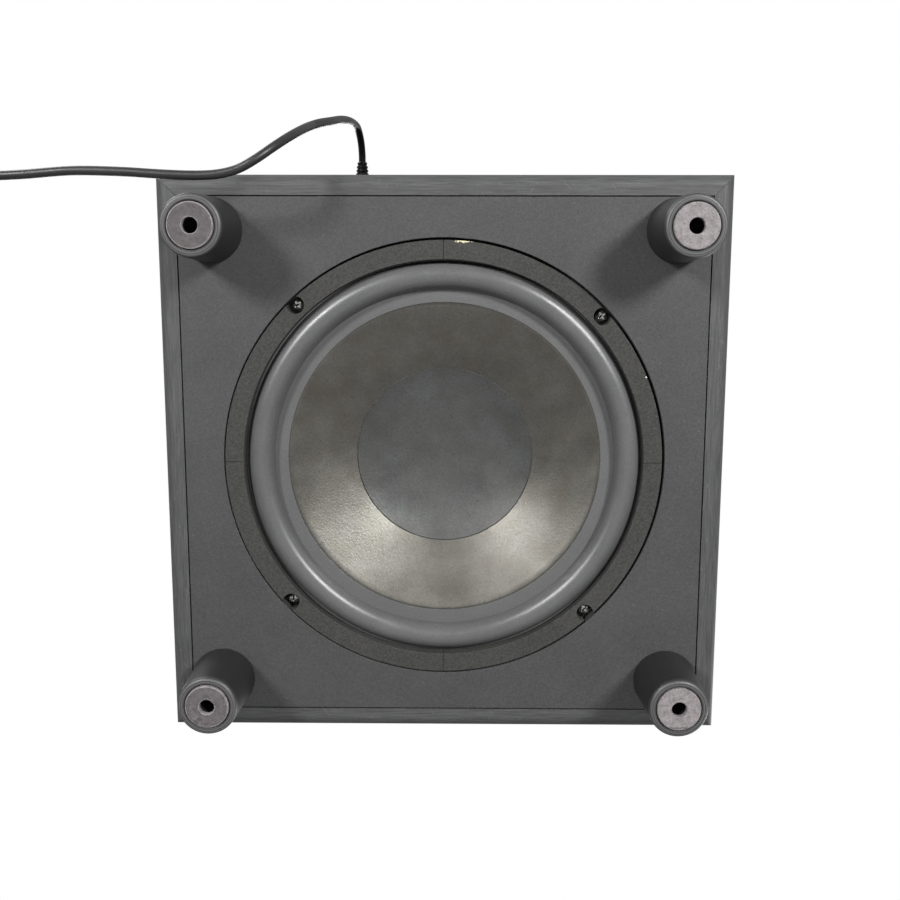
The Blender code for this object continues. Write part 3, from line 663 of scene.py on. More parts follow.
def foot_profile():
    tip = arc((FOOT_TIP_RADIUS - TIP_ROUND, 1.0 + TIP_ROUND), TIP_ROUND, 270.0, 357.0, 8)
    return [
        (13.1, 1.5),
        (13.5, 1.0),
        *tip,
        (FOOT_TIP_RADIUS + 0.15, 5.0),
        (FOOT_TIP_RADIUS + 0.05, 5.4),
        (FOOT_TIP_RADIUS + 0.20, 5.8),
        (FOOT_BASE_RADIUS - 0.1, FOOT_HEIGHT - 1.6),
        (FOOT_BASE_RADIUS, FOOT_HEIGHT - 0.9),
        (FOOT_BASE_RADIUS - 0.3, FOOT_HEIGHT - 0.3),
        (SCREW_BORE, FOOT_HEIGHT - 0.3),
        (SCREW_BORE, BORE_TOP),
        (BORE_RADIUS, BORE_TOP),
        (BORE_RADIUS, 3.5),
        (13.1, 3.5),
    ]


def pad_profile():
    return [
        (PAD_HOLE, 0.7),
        *arc((PAD_HOLE + 0.5, 0.5), 0.5, 180.0, 270.0, 3)[1:],
        *arc((PAD_RADIUS - 0.7, 0.7), 0.7, 270.0, 360.0, 4),
        (PAD_RADIUS, 3.2),
        (PAD_HOLE, 3.2),
    ]


def flat_distance(tree, place, middle):
    """How far a place is from an upright line through the middle."""
    return vectors(tree, "LENGTH", vectors(tree, "MULTIPLY", vectors(tree, "SUBTRACT", place, middle), FLAT))


def ring_noise(tree, radius, scale, detail):
    """Fine uneven rings: noise that changes with the radius only."""
    return noisy(tree, {"W": radius, "Scale": scale, "Detail": detail}, noise_dimensions="1D")


def tip_dust_and_highlight(tree):
    """Where a foot's tip is painted lighter, partly as dust and partly as a painted highlight on its rounded
    edge: near the rubber, in rings round it, and in patches.
    """
    place = object_place(tree)
    height = add_node(tree, "ShaderNodeSeparateXYZ", {0: place}).outputs["Z"]
    low = mapped(tree, height, 0.0024, 0.0050, 1.0, 0.0)
    patchy_share = mapped(tree, grouped(tree, PATCHES, 0.06)[0], 0.0, 1.0, 0.65, 1.0)
    mirrored = vectors(tree, "ABSOLUTE", vectors(tree, "SUBTRACT", place, DRIVER_AXIS))
    radius = flat_distance(tree, mirrored, (FOOT_PLACE * MM, FOOT_PLACE * MM, 0.0))
    streaks = mapped(tree, ring_noise(tree, radius, 750.0, 1.0), 0.42, 0.60, 0.20, 1.0)
    return maths(tree, "MULTIPLY", maths(tree, "MULTIPLY", low, patchy_share), streaks)


def foot_plastic():
    """Matt black plastic with a spark-eroded texture, its tip painted grey where it meets the rubber: dust,
    and a painted highlight on the rounded edge.
    """
    finish = finish_of("foot_plastic", (0.010, 0.010, 0.0105), (0.020, 0.020, 0.0205), 0.46, 0.0005, 0.00003)
    # The grey laid on the tip is dust and, on its rounded edge, a painted highlight.
    return tinted(finish, tip_dust_and_highlight, (0.125, 0.125, 0.127))


def foot_rubber():
    """Soft grey rubber with the dust and pressed-in specks of a foot that has stood for years."""
    dark, light = (0.085, 0.077, 0.078), (0.36, 0.333, 0.338)
    return finish_of("foot_rubber", dark, light, 0.85, 0.0013, 0.00012, patch=0.0035, specular=0.10)


def geometry_tree(name, **inputs):
    """A Geometry Nodes tree with inputs of each kind, its inputs' sockets and its output node."""
    tree = bpy.data.node_groups.new(name, "GeometryNodeTree")
    tree.is_modifier = True
    for kind, labels in {"Geometry": ("Geometry",), **inputs, "Material": ("Material",)}.items():
        for label in labels:
            tree.interface.new_socket(label, in_out="INPUT", socket_type=f"NodeSocket{kind}")
    tree.interface.new_socket("Geometry", in_out="OUTPUT", socket_type="NodeSocketGeometry")
    return tree, add_node(tree, "NodeGroupInput").outputs, add_node(tree, "NodeGroupOutput")


def combined(tree, *parts):
    return add_node(tree, "ShaderNodeCombineXYZ", dict(enumerate(parts))).outputs[0]


def cuboid(tree, size):
    return add_node(tree, "GeometryNodeMeshCube", {"Size": size}).outputs[0]


def shifted(tree, shape, place):
    return add_node(tree, "GeometryNodeTransform", {"Geometry": shape, "Translation": place}).outputs[0]


def joined(tree, *shapes):
    whole = add_node(tree, "GeometryNodeJoinGeometry")
    for shape in shapes:
        tree.links.new(shape, whole.inputs[0])
    return whole.outputs[0]


def copied(tree, points, shape, rotation=(0.0, 0.0, 0.0)):
    inputs = {"Points": points, "Instance": shape, "Rotation": rotation}
    return add_node(tree, "GeometryNodeInstanceOnPoints", inputs).outputs[0]


def realized(tree, given, made, last):
    """Ends a tree: makes its copies real and gives them the material."""
    real = add_node(tree, "GeometryNodeRealizeInstances", {0: last}).outputs[0]
    inputs = {"Geometry": real, "Material": given["Material"]}
    tree.links.new(add_node(tree, "GeometryNodeSetMaterial", inputs).outputs[0], made.inputs[0])
    return tree


def grown(tree, spots, values):
    """The plain mesh, in metres, that a tree makes at spots in millimetres from its named values."""
    seeds = bpy.data.meshes.new(tree.name)
    seeds.from_pydata([Vector(spot) * MM for spot in spots], [], [])
    holder = placed(tree.name, seeds)
    modifier = holder.modifiers.new(tree.name, "NODES")
    modifier.node_group = tree
    for socket in tree.interface.items_tree:
        if socket.in_out == "INPUT" and socket.name in values:
            modifier[socket.identifier] = values[socket.name]
    mesh = bpy.data.meshes.new_from_object(holder.evaluated_get(bpy.context.evaluated_depsgraph_get()))
    holder.modifiers.clear()
    bpy.data.objects.remove(holder)
    return mesh


def make_screw_tree():
    """Cross-recess pan-head screws, one at each point, each turned by chance about its own axis."""
    tree, given, made = geometry_tree("cross_screws", Float=SCREW_SIZES, Rotation=("Facing",), Int=("Seed",))
    radius, height, wide, deep, shank_radius, shank_length = [given[size] for size in SCREW_SIZES]
    ball = add_node(tree, "GeometryNodeMeshUVSphere", {"Segments": 32, "Rings": 18, "Radius": 1.0}).outputs[0]
    flattened = {"Geometry": ball, "Scale": combined(tree, radius, radius, height)}
    dome = add_node(tree, "GeometryNodeTransform", flattened).outputs[0]
    head = add_node(tree, "GeometryNodeMeshBoolean", {0: dome}, operation="DIFFERENCE")
    long, low = maths(tree, "MULTIPLY", radius, 1.15), maths(tree, "MULTIPLY", deep, 2.0)
    for arm in ((long, wide, low), (wide, long, low)):
        cut = shifted(tree, cuboid(tree, combined(tree, *arm)), combined(tree, 0.0, 0.0, height))
        tree.links.new(cut, head.inputs[1])
    stem = {"Vertices": 20, "Radius": shank_radius, "Depth": shank_length}
    shank = add_node(tree, "GeometryNodeMeshCylinder", stem).outputs[0]
    down = combined(tree, 0.0, 0.0, maths(tree, "MULTIPLY", shank_length, -0.5))
    whole = joined(tree, head.outputs[0], shifted(tree, shank, down))
    limits = {"Min": (0.0, 0.0, 0.0), "Max": (0.0, 0.0, 2.0 * math.pi), "Seed": given["Seed"]}
    chance = add_node(tree, "FunctionNodeRandomValue", limits, data_type="FLOAT_VECTOR").outputs[0]
    spin = add_node(tree, "FunctionNodeEulerToRotation", {0: chance}).outputs[0]
    both = {0: given["Facing"], 1: spin}
    turn = add_node(tree, "FunctionNodeRotateRotation", both, rotation_space="LOCAL").outputs[0]
    return realized(tree, given, made, copied(tree, given["Geometry"], whole, turn))


CROSS_SCREWS = make_screw_tree()


def add_screws(name, spots, finish, facing, seed, sizes, *replaced):
    """Screws at spots in millimetres; their sizes are in metres."""
    values = {**dict(zip(SCREW_SIZES, sizes)), "Facing": facing, "Seed": seed, "Material": finish}
    settled(name, grown(CROSS_SCREWS, spots, values), finish, "cabinet", "zinc_steel", *replaced)


def zinc():
    tones = (0.46, 0.46, 0.44), (0.70, 0.70, 0.68)
    return finish_of("zinc_plate", *tones, 0.24, 0.0006, 0.00002, patch=0.008, metallic=1.0)


plastic, rubber, zinc_plate = foot_plastic(), foot_rubber(), zinc()
foot_spots = {name: (x * FOOT_PLACE, y * FOOT_PLACE + CABINET_Y, 0.0) for name, (x, y) in FEET.items()}
for name, spot in foot_spots.items():
    foot, pad = turned(foot_profile(), FOOT_POINTS, spot), turned(pad_profile(), FOOT_POINTS, spot)
    closed(f"{name}_foot", foot, plastic, "cabinet", "foot_plastic", f"foot_{name}")
    closed(f"{name}_pad", pad, rubber, "cabinet", "foot_rubber", f"foot_pad_{name}")
bore_ends = [(x, y, BORE_TOP) for x, y, _ in foot_spots.values()]
foot_screw = (0.0042, 0.0024, 0.0010, 0.0014, 0.0020, 0.024)
add_screws("foot_screws", bore_ends, zinc_plate, DOWNWARD, 3, foot_screw)

# ---------------------------------------------------------------- driver frame and trim ring
# Ten-inch driver. Its pressed steel basket sits in the seat, and a trim ring of four pressed-fibre arcs
# covers the flange, butted at the quarter turns and notched for the four cross-recess screws.

RING_OUTER = 129.0
RING_INNER = 117.9
RING_THICK = 7.9
RING_ROUND = 0.5
# The ring sits a little off the seat's middle
RING_SHIFT = (0.42, -0.30, 0.0)
RING_POINTS = 72
BUTT_GAP = 0.15
BOLT_CIRCLE = 125.5
BOLT_TURN = 2.0
FLANGE_DEPTH = 9.5
# Angle from the -X side, reach and colour of the places where the ring's outer edge is chipped
RING_CHIPS = ((84.8, 0.0033, (0.60, 0.55, 0.36)), (23.0, 0.0012, (0.70, 0.69, 0.64)))


def bolt_place(quarter):
    angle = math.radians(45.0 + BOLT_TURN + 90.0 * quarter)
    return BOLT_CIRCLE * math.cos(angle), BOLT_CIRCLE * math.sin(angle)


def ring_arc(quarter):
    """A quarter of the trim ring, with its notch for the screw open at the outer edge."""
    r = RING_ROUND
    section = [
        *arc((RING_INNER + r, r), r, 180.0, 270.0, 3),
        *arc((RING_OUTER - r, r), r, 270.0, 360.0, 3),
        (RING_OUTER, RING_THICK),
        (RING_INNER, RING_THICK),
    ]
    shape = bmesh.new()
    columns = []
    butt = math.degrees(BUTT_GAP / RING_OUTER)
    for step in range(RING_POINTS + 1):
        angle = math.radians(90.0 * quarter + butt + (90.0 - 2.0 * butt) * step / RING_POINTS)
        places = [(radius * math.cos(angle), radius * math.sin(angle), depth) for radius, depth in section]
        columns.append([shape.verts.new(place) for place in places])
    spanned(shape, columns)
    notch = [(0.0, -3.0), (5.6, -3.0), (5.0, 0.6), (5.0, 11.0), (0.0, 11.0)]
    shape = carved(shape, turned(notch, 40, (*bolt_place(quarter), 0.0)))
    return moved(at_driver(shape), RING_SHIFT)


def make_chip():
    """A ragged chip about a place: a mask from 0 to 1."""
    tree, given, made = effect("chip", {"Place": (0.0, 0.0, 0.0), "Reach": 0.003}, ("Mask",))
    here = object_place(tree)
    away = vectors(tree, "MULTIPLY", vectors(tree, "SUBTRACT", here, given["Place"]), (0.62, 2.6, 1.0))
    share = maths(tree, "DIVIDE", vectors(tree, "LENGTH", away), given["Reach"])
    ragged = noisy(tree, {"Vector": here, "Scale": 900.0, "Detail": 3.0})
    push = maths(tree, "MULTIPLY", maths(tree, "SUBTRACT", ragged, 0.5), 1.8)
    tree.links.new(mapped(tree, maths(tree, "ADD", share, push), 1.05, 0.85), made.inputs[0])
    return tree


CHIP = make_chip()


def ring_fibre():
    """Pressed fibre board dyed dark grey, its surface speckled and slightly fuzzy, its edge chipped."""
    dark, light = (0.018, 0.018, 0.017), (0.066, 0.065, 0.062)
    finish = finish_of("ring_fibre", dark, light, 0.80, 0.0012, 0.00018, patch=0.03, fine=0.75, specular=0.3)
    for angle, reach, colour in RING_CHIPS:
        turn = math.radians(angle)
        x, y = -RING_OUTER * math.cos(turn), RING_OUTER * math.sin(turn) + CABINET_Y
        place = Vector((x, y, BAFFLE_Z)) * MM
        tinted(finish, lambda tree: grouped(tree, CHIP, place, reach)[0], colour)
    return finish


def pressed_steel():
    tones = (0.012, 0.012, 0.012), (0.024, 0.024, 0.024)
    return finish_of("basket_paint", *tones, 0.48, 0.001, 0.00004, metallic=0.3)


fibre = ring_fibre()
for quarter in range(4):
    name, node = f"trim_ring_arc_{quarter + 1}", f"gasket_segment_{quarter + 1}"
    closed(name, ring_arc(quarter), fibre, "cabinet", "ring_board", node)
bolt_ends = [(x, y + CABINET_Y, BAFFLE_Z + FLANGE_DEPTH - 0.3) for x, y in map(bolt_place, range(4))]
driver_screw = (0.0040, 0.0027, 0.0010, 0.0015, 0.0019, 0.016)
nodes = [f"driver_screw_{number}" for number in range(1, 5)]
add_screws("driver_screws", bolt_ends, zinc_plate, DOWNWARD, 11, driver_screw, *nodes)
dress("driver_basket", pressed_steel())

# ---------------------------------------------------------------- surround and spider
# The half-roll surround is moulded rubber, glued to the basket outside and to the cone inside. The spider
# is resin-stiffened cloth pressed in rings. Both stretch as the cone travels.

ROLL_CENTRE = 109.0
ROLL_RADIUS = 7.4
ROLL_FOOT = 8.75
SURROUND_HALF = 0.45
SURROUND_OUTER = 121.0
LANDING_INNER = 93.2
SPIDER_DEPTH = 58.0
SPIDER_WAVES = 12
SPIDER_SWING = 1.6
# Radii between which each one stretches
SURROUND_BLEND = (117.0, 101.0)
SPIDER_BLEND = (58.0, 22.0)
DRIVER_POINTS = 224
SPIDER_POINTS = 96


def surround_section():
    """The rubber's section from the outer flange over the roll to the landing on the cone."""
    front = arc((ROLL_CENTRE, ROLL_FOOT), ROLL_RADIUS + SURROUND_HALF, 4.0, -184.0, 22)
    back = arc((ROLL_CENTRE, ROLL_FOOT), ROLL_RADIUS - SURROUND_HALF, -176.0, -4.0, 18)
    landing = ROLL_FOOT + 0.5
    return [
        (SURROUND_OUTER, ROLL_FOOT - SURROUND_HALF),
        (117.2, ROLL_FOOT - SURROUND_HALF),
        *front,
        (100.3, landing + 0.15),
        (98.6, landing + 0.05),
        (LANDING_INNER + 0.7, landing),
        (LANDING_INNER + 0.2, landing + 0.1),
        (LANDING_INNER, landing + 0.4),
        (LANDING_INNER, landing + 0.9),
        (101.2, landing + 0.9),
        *back,
        (117.0, ROLL_FOOT + SURROUND_HALF),
        (SURROUND_OUTER, ROLL_FOOT + SURROUND_HALF),
    ]


def thickened(line, thick):
    """A closed section from a line of (radius, depth) points and the same line deeper by the thickness."""
    return [*line, *[(radius, depth + thick) for radius, depth in reversed(line)]]


def spider_section():
    line = [(20.4, SPIDER_DEPTH)]
    for step in range(SPIDER_WAVES * 4 + 1):
        depth = SPIDER_DEPTH + SPIDER_SWING * math.sin(math.pi * step / 4)
        line.append((22.5 + 33.0 * step / (SPIDER_WAVES * 4), depth))
    return thickened([*line, (58.0, SPIDER_DEPTH), (65.4, SPIDER_DEPTH + 1.0)], 0.5)


def stretched(item, outer, inner):
    """Lays a round piece's points out in a line by their radius, bakes its transform into its mesh and puts
    the points back.

    The outer and inner radii are not used.
    """
    mesh = item.data
    places = [vertex.co.copy() for vertex in mesh.vertices]
    for vertex, place in zip(mesh.vertices, places):
        vertex.co = (math.hypot(place.x, place.y - CABINET_Y * MM), 0.0, 0.0)
    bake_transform(item)
    for vertex, place in zip(mesh.vertices, places):
        vertex.co = place


def surround_rubber():
    """Satin butyl rubber, greyed by a thin bloom."""
    tones = (0.072, 0.072, 0.073), (0.118, 0.119, 0.120)
    return finish_of(
        "surround_rubber", *tones, 0.34, 0.0012, 0.00005, patch=0.02, uneven=0.06, fine=0.65, specular=0.6
    )


def woven_cloth():
    grain = (0.0012, 0.0003, 0.0012)
    return finish_of("spider_cloth", (0.40, 0.28, 0.11), (0.60, 0.45, 0.22), 0.9, grain, 0.0002, patch=0.02)


roll, disc = turned(surround_section(), DRIVER_POINTS), turned(spider_section(), SPIDER_POINTS)
surround = closed("surround_roll", at_driver(roll), surround_rubber(), None, "surround_rubber", "surround")
stretched(surround, *SURROUND_BLEND)
spider = closed("spider_disc", at_driver(disc), woven_cloth(), None, "spider_cloth", "spider")
stretched(spider, *SPIDER_BLEND)

# ---------------------------------------------------------------- cone, dust cap and voice coil
# The cone and its concave cap are pressed paper with a sprayed metallic grey coating. The cap is glued on
# with a thin dark bead. The coil is copper wire on a heat-proof film former.

CONE_EDGE_DEPTH = 11.2
CONE_SLOPE = 0.41
CONE_THICK = 1.0
NECK_RADIUS = 20.6
CAP_RADIUS = 53.2
CAP_SAG = 9.0
CAP_THICK = 0.8
CAP_STEPS = 20


def cone_depth(radius):
    return CONE_EDGE_DEPTH + CONE_SLOPE * (93.0 - radius)


def cone_section():
    front = [
        *[(radius, cone_depth(radius)) for radius in (NECK_RADIUS, *range(30, 92, 6))],
        (92.0, cone_depth(92.0) + 0.02),
        (93.6, CONE_EDGE_DEPTH + 0.02),
        (100.3, CONE_EDGE_DEPTH),
    ]
    return thickened(front, CONE_THICK)


def cap_section():
    edge = cone_depth(CAP_RADIUS) - 0.3 - CAP_THICK
    shares = [step / CAP_STEPS for step in range(CAP_STEPS + 1)]
    return thickened([(CAP_RADIUS * share, edge + CAP_SAG * (1.0 - share**2)) for share in shares], CAP_THICK)


def bead_section():
    """The glue bead in the corner between cap and cone."""
    return arc((CAP_RADIUS + 0.25, cone_depth(CAP_RADIUS) - 0.45), 0.28, 0.0, 330.0, 9)


def metallic_coat(name, dark, light):
    """Sprayed metallic grey, with fine rings left by the spin and a few darker handling marks."""
    finish = finish_of(
        name, dark, light, 0.36, 0.0013, 0.00007, patch=0.02, uneven=0.06, metallic=0.85, fine=0.6
    )
    tree, shader = shader_of(finish)
    gloss = shader.inputs["Roughness"]
    turns = ring_noise(tree, flat_distance(tree, object_place(tree), DRIVER_AXIS), 1500.0, 2.0)
    swing = mapped(tree, turns, None, None, -0.03, 0.03)
    tree.links.new(maths(tree, "ADD", gloss.links[0].from_socket, swing), gloss)
    warm = (1.05 * dark[0], 0.92 * dark[1], 0.84 * dark[2])
    tinted(finish, lambda tree: maths(tree, "MULTIPLY", grouped(tree, PATCHES, 0.014, 2.4)[0], 0.5), warm)
    return scuffed(finish, tuple(0.45 * part for part in dark), 0.0010, 0.5)


def glue():
    return finish_of("cap_glue", (0.018, 0.018, 0.017), (0.10, 0.10, 0.095), 0.6, 0.002, 0.0001)


def enamelled_copper():
    """Fine enamelled wire, wound in close turns."""
    grain = (0.01, 0.01, 0.00035)
    tones = (0.42, 0.16, 0.06), (0.72, 0.33, 0.14)
    return finish_of("enamelled_copper", *tones, 0.33, grain, 0.0001, metallic=1.0)


def former_film():
    return finish_of("former_film", (0.32, 0.16, 0.045), (0.46, 0.25, 0.08), 0.42, 0.004, 0.00002)


cone_coat = metallic_coat("cone_coating", (0.122, 0.121, 0.108), (0.235, 0.230, 0.208))
cap_coat = metallic_coat("cap_coating", (0.096, 0.101, 0.100), (0.182, 0.187, 0.184))
for name, section, finish, *replaced in (
    ("cone_shell", cone_section(), cone_coat, "cone"),
    ("dust_cap_dish", cap_section(), cap_coat, "dust_cap"),
    ("cap_glue_bead", bead_section(), glue()),
):
    shape = at_driver(turned(section, DRIVER_POINTS))
    closed(name, shape, finish, "cone_assembly", "cone_coating", *replaced)
copper, film = enamelled_copper(), former_film()
dress("voice_coil_former", film)
dress("voice_coil", copper)

# ---------------------------------------------------------------- motor
# Ferrite ring magnet between zinc-plated steel plates. A phenolic strip on the basket takes the lead from
# the amplifier.


def ferrite():
    return finish_of("ferrite", (0.035, 0.035, 0.038), (0.065, 0.065, 0.07), 0.66, 0.0015, 0.0001)


dress("magnet", ferrite())
dress("top_plate", zinc_plate)
dress("back_plate", zinc_plate)
dress("terminal_strip", film)

# ---------------------------------------------------------------- amplifier plate and heatsink
# A pressed plate in black powder coat closes the opening in the rear wall over a thin foam seal, held by
# screws round its edge. The heatsink is a black anodised aluminium extrusion.

PLATE_FACE = 3.5
PLATE_SCREWS = [
    *[(side * 96.0, height) for side in (-1, 1) for height in (54.0, 117.0, 180.0, 243.0, 306.0)],
    *[(x, height) for x in (-48.0, 0.0, 48.0) for height in (54.0, 306.0)],
]
HEATSINK = {"Width": 0.156, "Height": 0.086, "Base": 0.0032, "Reach": 0.0152, "Fin": 0.0018, "Fins": 15}
HEATSINK_PLACE = (0.0, 261.0)


def rear(spot, depth=0.0):
    """A point on the rear side, from its x and height above the bottom board, and a rear depth."""
    return (spot[0], REAR_Y + depth, BAFFLE_Z + spot[1])


def make_fin_tree():
    """A heatsink at each point: a base slab with upright fins standing out from it along +Y."""
    *sizes, count = HEATSINK
    tree, given, made = geometry_tree("fin_block", Float=sizes, Int=(count,))
    wide, tall, base, deep, thick = [given[size] for size in sizes]
    half_base = combined(tree, 0.0, maths(tree, "MULTIPLY", base, 0.5))
    slab = shifted(tree, cuboid(tree, combined(tree, wide, base, tall)), half_base)
    span = maths(tree, "SUBTRACT", wide, thick)
    start = combined(tree, maths(tree, "MULTIPLY", span, -0.5), maths(tree, "MULTIPLY", deep, 0.5))
    step = combined(tree, maths(tree, "DIVIDE", span, maths(tree, "SUBTRACT", given[count], 1.0)))
    row = {"Count": given[count], "Start Location": start, "Offset": step}
    places = add_node(tree, "GeometryNodeMeshLine", row).outputs[0]
    fins = copied(tree, places, cuboid(tree, combined(tree, thick, deep, tall)))
    return realized(tree, given, made, copied(tree, given["Geometry"], joined(tree, slab, fins)))


def edged(mesh, width):
    """The mesh, in metres, with its sharp edges rounded by a width in millimetres."""
    shape = bmesh.new()
    shape.from_mesh(mesh)
    rounded(shape, width * MM)
    shape.to_mesh(mesh)
    shape.free()
    return mesh


def powder_coat():
    finish = finish_of("powder_coat", (0.020, 0.020, 0.021), (0.042, 0.042, 0.043), 0.46, 0.0007, 0.00007)
    return scuffed(finish, (0.09, 0.09, 0.09), 0.0009, 0.35)


def anodised():
    """Black anodised aluminium with the faint drawn lines of its extrusion, which run along the fins."""
    grain = (0.0004, 0.0004, 0.02)
    tones = (0.030, 0.030, 0.031), (0.060, 0.060, 0.062)
    return finish_of("anodised_black", *tones, 0.40, grain, 0.00002, metallic=0.4)


def foam():
    return finish_of("seal_foam", (0.018, 0.018, 0.018), (0.045, 0.045, 0.045), 0.95, 0.0006, 0.0003)


def black_zinc():
    tones = (0.020, 0.020, 0.021), (0.045, 0.045, 0.047)
    return finish_of("black_zinc", *tones, 0.36, 0.0006, 0.00003, metallic=0.8)


aluminium = anodised()
closed("plate_seal", softened("amp_gasket", 0.2, 1), foam(), "cabinet", "foam", "amp_gasket")
closed("amplifier_plate", softened("amp_plate", 0.45), powder_coat(), "cabinet", "plate_paint", "amp_plate")
spots = [rear(HEATSINK_PLACE, PLATE_FACE + 0.3)]
fins = grown(make_fin_tree(), spots, {**HEATSINK, "Material": aluminium})
settled("heatsink_fins", edged(fins, 0.35), aluminium, "cabinet", "plate_paint", "heatsink")
plate_screw = (0.0029, 0.0012, 0.0008, 0.0008, 0.0015, 0.012)
plate_ends = [rear(spot, PLATE_FACE) for spot in PLATE_SCREWS]
add_screws("plate_screws", plate_ends, black_zinc(), REARWARD, 5, plate_screw)

# ---------------------------------------------------------------- volume and crossover controls
# Two potentiometers behind the plate, with fluted push-on knobs. A white pointer is set in each knob and
# printed marks stand round it.

KNOBS = {"volume": (25.0, 190.0), "crossover": (-25.0, 190.0)}
PLASTIC = "black_plastic"
FLUTES = 28
DIAL_MARKS = 11
DIAL_SWEEP = 300.0


def make_bars_tree():
    """Short bars set round a circle, each pointing outwards; one circle at each point."""
    sizes = ("Circle", "Start", "Sweep")
    tree, given, made = geometry_tree(
        "bars_round", Int=("Count",), Float=sizes, Vector=("Bar",), Rotation=("Facing",)
    )
    inputs = {
        "Resolution": given["Count"],
        "Radius": given["Circle"],
        "Start Angle": given["Start"],
        "Sweep Angle": given["Sweep"],
    }
    ring = add_node(tree, "GeometryNodeCurveArc", inputs).outputs[0]
    here = add_node(tree, "GeometryNodeInputPosition").outputs[0]
    outward = add_node(tree, "FunctionNodeAlignRotationToVector", {"Vector": here}, axis="X").outputs[0]
    bars = copied(tree, ring, cuboid(tree, given["Bar"]), outward)
    return realized(tree, given, made, copied(tree, given["Geometry"], bars, given["Facing"]))


BARS_ROUND = make_bars_tree()


def bars_round(spots, finish, count, circle, bar, start=0.0, sweep=None, facing=REARWARD):
    """Bars round a circle at each spot, all the way round it where no sweep is given."""
    if sweep is None:
        sweep = 2.0 * math.pi * (count - 1) / count
    values = {"Count": count, "Circle": circle, "Start": start, "Sweep": sweep, "Bar": bar}
    return grown(BARS_ROUND, spots, {**values, "Facing": facing, "Material": finish})


def knob_section():
    return [
        (3.8, 4.6),
        *arc((9.6, 5.0), 0.4, 270.0, 360.0, 3),
        *arc((9.6, 6.7), 0.4, 0.0, 80.0, 3),
        (8.95, 7.9),
        (8.55, 9.0),
        (8.25, 16.6),
        *arc((7.4, 16.9), 0.9, 0.0, 90.0, 5),
        (6.6, 17.8),
        (6.2, 17.45),
        (0.0, 17.45),
        (0.0, 13.6),
        (3.8, 13.6),
    ]


def moulded():
    """Fine-textured black plastic, for everything moulded on the plate."""
    tones = (0.013, 0.013, 0.014), (0.025, 0.025, 0.026)
    return finish_of("moulded_black", *tones, 0.40, 0.0004, 0.000025, patch=0.01)


def print_ink():
    tones = (0.60, 0.60, 0.58), (0.82, 0.82, 0.80)
    return finish_of("white_print", *tones, 0.55, 0.0004, 0.00001, patch=0.004)


def turned_rear(section, spot, points=48):
    """A shape turned about the line through a spot of the rear, its section's heights as rear depths."""
    return turned(section, points, rear(spot), rearward=True)


black, ink = moulded(), print_ink()
for control, spot in KNOBS.items():
    body = f"{control}_knob"
    closed(f"{control}_grip", turned_rear(knob_section(), spot, 96), black, body, PLASTIC, body)
    flutes = bars_round([rear(spot, 12.6)], black, FLUTES, 0.0083, (0.0013, 0.0009, 0.0076))
    settled(f"{control}_flutes", edged(flutes, 0.25), black, body, PLASTIC)
    x, y, z = rear(spot)
    pointer = rounded(block((x - 0.55, y + 17.3, z + 1.8), (x + 0.55, y + 17.6, z + 6.1)), 0.1, 1)
    closed(f"{control}_pointer", pointer, ink, body, PLASTIC)
    dress(f"{control}_pot", zinc_plate)
dials = [rear(spot, PLATE_FACE) for spot in KNOBS.values()]
start, sweep = math.radians(90.0 - DIAL_SWEEP / 2), math.radians(DIAL_SWEEP)
mark = (0.0022, 0.0006, 0.0002)
marks = bars_round(dials, ink, DIAL_MARKS, 0.0138, mark, start, sweep, (math.pi / 2, 0.0, 0.0))
settled("dial_marks", marks, ink, "cabinet", "plate_paint")

# ---------------------------------------------------------------- switches, power light and fuse
# A slide switch for phase, a rocker for power, a green light and a screw-in fuse cap, all in moulded black
# plastic fixed from behind the plate.

LIGHT_PLACE = (-60.0, 158.0)
FUSE_PLACE = (-60.0, 95.0)
SLIDER_PLACE = (-66.0, 190.0)
FUSE_RIDGES = 20


def light_lens():
    dark, light = (0.02, 0.20, 0.05), (0.04, 0.34, 0.08)
    finish = finish_of("led_lens", dark, light, 0.14, 0.002, 0.000005, patch=0.003, uneven=0.03)
    shader_of(finish)[1].inputs["Coat Weight"].default_value = 0.6
    return finish


def fuse_cap():
    """The cap, with the slot for a coin or a driver across its face."""
    edge = arc((6.1, 7.7), 0.5, 0.0, 90.0, 4)
    section = [(0.0, -18.0), (5.5, -18.0), (5.5, 3.8), (6.6, 3.8), *edge, (0.0, 8.2)]
    x, y, z = rear(FUSE_PLACE)
    slot = block((x - 4.2, y + 7.6, z - 0.6), (x + 4.2, y + 12.0, z + 0.6))
    return carved(turned_rear(section, FUSE_PLACE), slot)


def slider_ribs():
    x, y, z = rear(SLIDER_PLACE)
    low, high = Vector((x - 0.25, y + 5.3, z - 2.0)), Vector((x + 0.25, y + 5.8, z + 2.0))
    steps = [Vector((step, 0.0, 0.0)) for step in (-1.4, 0.0, 1.4)]
    return rounded(together(block(low + step, high + step) for step in steps), 0.12, 1)


dress("phase_switch", zinc_plate)
closed("power_switch_bezel", softened("power_switch", 0.5, 3), black, "cabinet", PLASTIC, "power_switch")
closed("power_rocker_cap", softened("power_rocker", 0.25), black, "power_rocker", PLASTIC, "power_rocker")
closed("phase_slider_cap", softened("phase_slider", 0.15, 1), black, "phase_slider", PLASTIC, "phase_slider")
closed("phase_slider_ribs", slider_ribs(), black, "phase_slider", PLASTIC)
lens = [(0.0, -3.0), (2.5, -3.0), (2.5, 4.0), *arc((0.0, 4.0), 2.4, 0.0, 88.0, 10), (0.0, 6.4)]
closed("power_light", turned_rear(lens, LIGHT_PLACE), light_lens(), "cabinet", "led_lens", "power_led")
bezel = [(2.7, 3.4), (4.2, 3.4), (4.2, 3.9), (3.8, 4.4), (3.0, 4.4), (2.7, 4.1)]
closed("light_bezel", turned_rear(bezel, LIGHT_PLACE), black, "cabinet", PLASTIC)
closed("fuse_holder_cap", fuse_cap(), black, "cabinet", PLASTIC, "fuse_cap")
